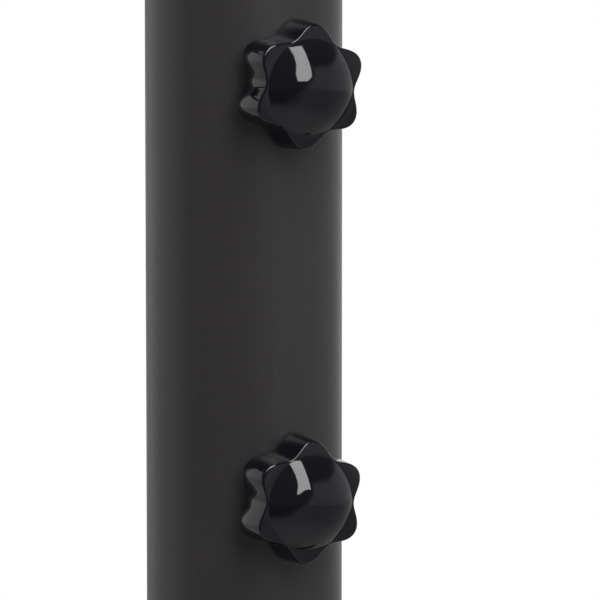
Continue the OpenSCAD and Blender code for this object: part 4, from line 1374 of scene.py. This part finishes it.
print("cushions ready")


# Weld beads

weldLook = {"size": 0.0030, "ripple": 0.0021, "sides": 8, "depth": 0.22, "uneven": 0.10, "lumps": 90.0,
            "endStart": 0.35, "endRise": 0.4, "around": 48, "sharp": 60.0}


# Rippled bead along a path of points; a closed path joins its own start
def weldBead(bm, path, closed, s):
    points = []
    count = len(path)
    for i in range(count if closed else count - 1):
        a, b = path[i], path[(i + 1) % count]
        parts = max(1, round((b - a).length / (s["ripple"] / 3)))
        points += [a.lerp(b, k / parts) for k in range(parts)]
    if not closed:
        points.append(path[-1])
    rings = []
    travelled = 0.0
    total = len(points)
    for i, point in enumerate(points):
        before = points[i - 1] if closed or i > 0 else points[0]
        after = points[(i + 1) % total] if closed or i < total - 1 else points[-1]
        travelled += (point - before).length
        phase = abs(math.sin(math.pi * travelled / s["ripple"]))
        ends = 1.0 if closed else min(1.0, s["endStart"] + s["endRise"] * min(i, total - 1 - i))
        lump = 1 + s["uneven"] * noise.noise(point * s["lumps"])
        r = s["size"] * (1 - s["depth"] * (1 - phase)) * ends * lump
        rings.append(circleRing(placeAt(point, after - before), r, 0, s["sides"]))
    if closed:
        bridge(bm, rings + rings[:1])
    else:
        capEnds(bm, bridge(bm, rings))


def circlePath(centre, along, radius):
    return circleRing(placeAt(centre, along), radius, 0, weldLook["around"])


def linePath(start, end):
    return [Vector(start), Vector(end)]


def mirrored(path, sign):
    return [Vector((sign * p.x, p.y, p.z)) for p in path]


# What the welds run along: sizes that the frame's boxes don't give
welded = {
    "plate": 0.006,
    "gusset": {"halfThick": 0.0025, "off": 0.0005, "rise": (0.004, 0.066), "run": (0.002, 0.026)},
    "handle": {"reach": 0.080, "plate": 0.005},      # from the grip's middle to a leg
    "crossbarRadius": 0.025,
    "rib": {"off": 0.0085, "seatHalf": 0.056, "inset": 0.006},
    "armAboveLow": 0.066,
    "barLug": {"off": 0.0075, "half": 0.046, "into": 0.0008},
}


# Rings and runs of weld on the right half of the base
def baseWelds(s):
    closed, opened = [], []
    x, y = rightAxis.x, rightAxis.y
    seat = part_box("right_upright")[0][2] + s["plate"]
    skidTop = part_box("right_floor_skid")[1][2]
    handleLow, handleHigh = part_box("right_push_up_handle")
    handleRadius = sizeOf("right_push_up_grip").x / 2 - gripLook["wall"]
    gusset, handle, rib = s["gusset"], s["handle"], s["rib"]
    closed.append(circlePath((x, y, seat), (0, 0, 1), tubeRadius))
    for end in (-1, 1):
        legY = centreOf("right_push_up_grip").y + end * handle["reach"]
        closed.append(circlePath((x, legY, handleLow[2] + handle["plate"]), (0, 0, 1), handleRadius))
        foot = y + end * (tubeRadius + gusset["off"])
        for side in (x - gusset["halfThick"], x + gusset["halfThick"]):
            low, high = (seat + rise for rise in gusset["rise"])
            opened.append(linePath((side, foot, low), (side, foot, high)))
            near, far = (foot + end * run for run in gusset["run"])
            opened.append(linePath((side, near, seat), (side, far, seat)))
    bar, barEnd = centreOf("base_crossbar"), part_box("base_crossbar")[1][0]
    for flange in (barEnd - s["plate"], barEnd + s["plate"]):
        closed.append(circlePath((flange, bar.y, bar.z), (1, 0, 0), s["crossbarRadius"]))
    under = skidTop - s["plate"]
    for low, high in ((y - rib["seatHalf"], y + rib["seatHalf"]),
                      (handleLow[1] + rib["inset"], handleHigh[1] - rib["inset"])):
        for side in (x - rib["off"], x + rib["off"]):
            opened.append(linePath((side, low, under), (side, high, under)))
    return closed, opened


# The same for the upper frame: the dip arm's plate, the post's neck plate and the pull-up bar's lug
def upperWelds(s):
    x = rightAxis.x
    armLow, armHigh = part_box("right_dip_arm")
    postLow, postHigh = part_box("right_inner_post")
    armRadius = sizeOf("right_dip_grip").x / 2 - gripLook["wall"]
    postRadius = postHigh[1] - rightAxis.y
    neckZ = postHigh[2] - neckPlate / 2
    arm = (x, armHigh[1] - s["plate"], armLow[2] + s["armAboveLow"])
    neck = (x, postLow[1] + s["plate"], neckZ)
    closed = [circlePath(arm, (0, 1, 0), armRadius), circlePath(neck, (0, 1, 0), postRadius)]
    lug = s["barLug"]
    barFront = postLow[1] - s["plate"] - lug["into"]
    opened = []
    for z in (neckZ - lug["off"], neckZ + lug["off"]):
        opened.append(linePath((x - lug["half"], barFront, z), (x + lug["half"], barFront, z)))
    return closed, opened


for name, body, (closed, opened) in (("baseWeldBeads", "base_frame", baseWelds(welded)),
                                     ("upperWeldBeads", "upper_frame", upperWelds(welded))):
    bm = bmesh.new()
    for sign in (-1, 1):
        for path in closed:
            weldBead(bm, mirrored(path, sign), True, weldLook)
        for path in opened:
            weldBead(bm, mirrored(path, sign), False, weldLook)
    addPiece(name, bm, "powder_coat", body, weldLook["sharp"])
print("welds ready")
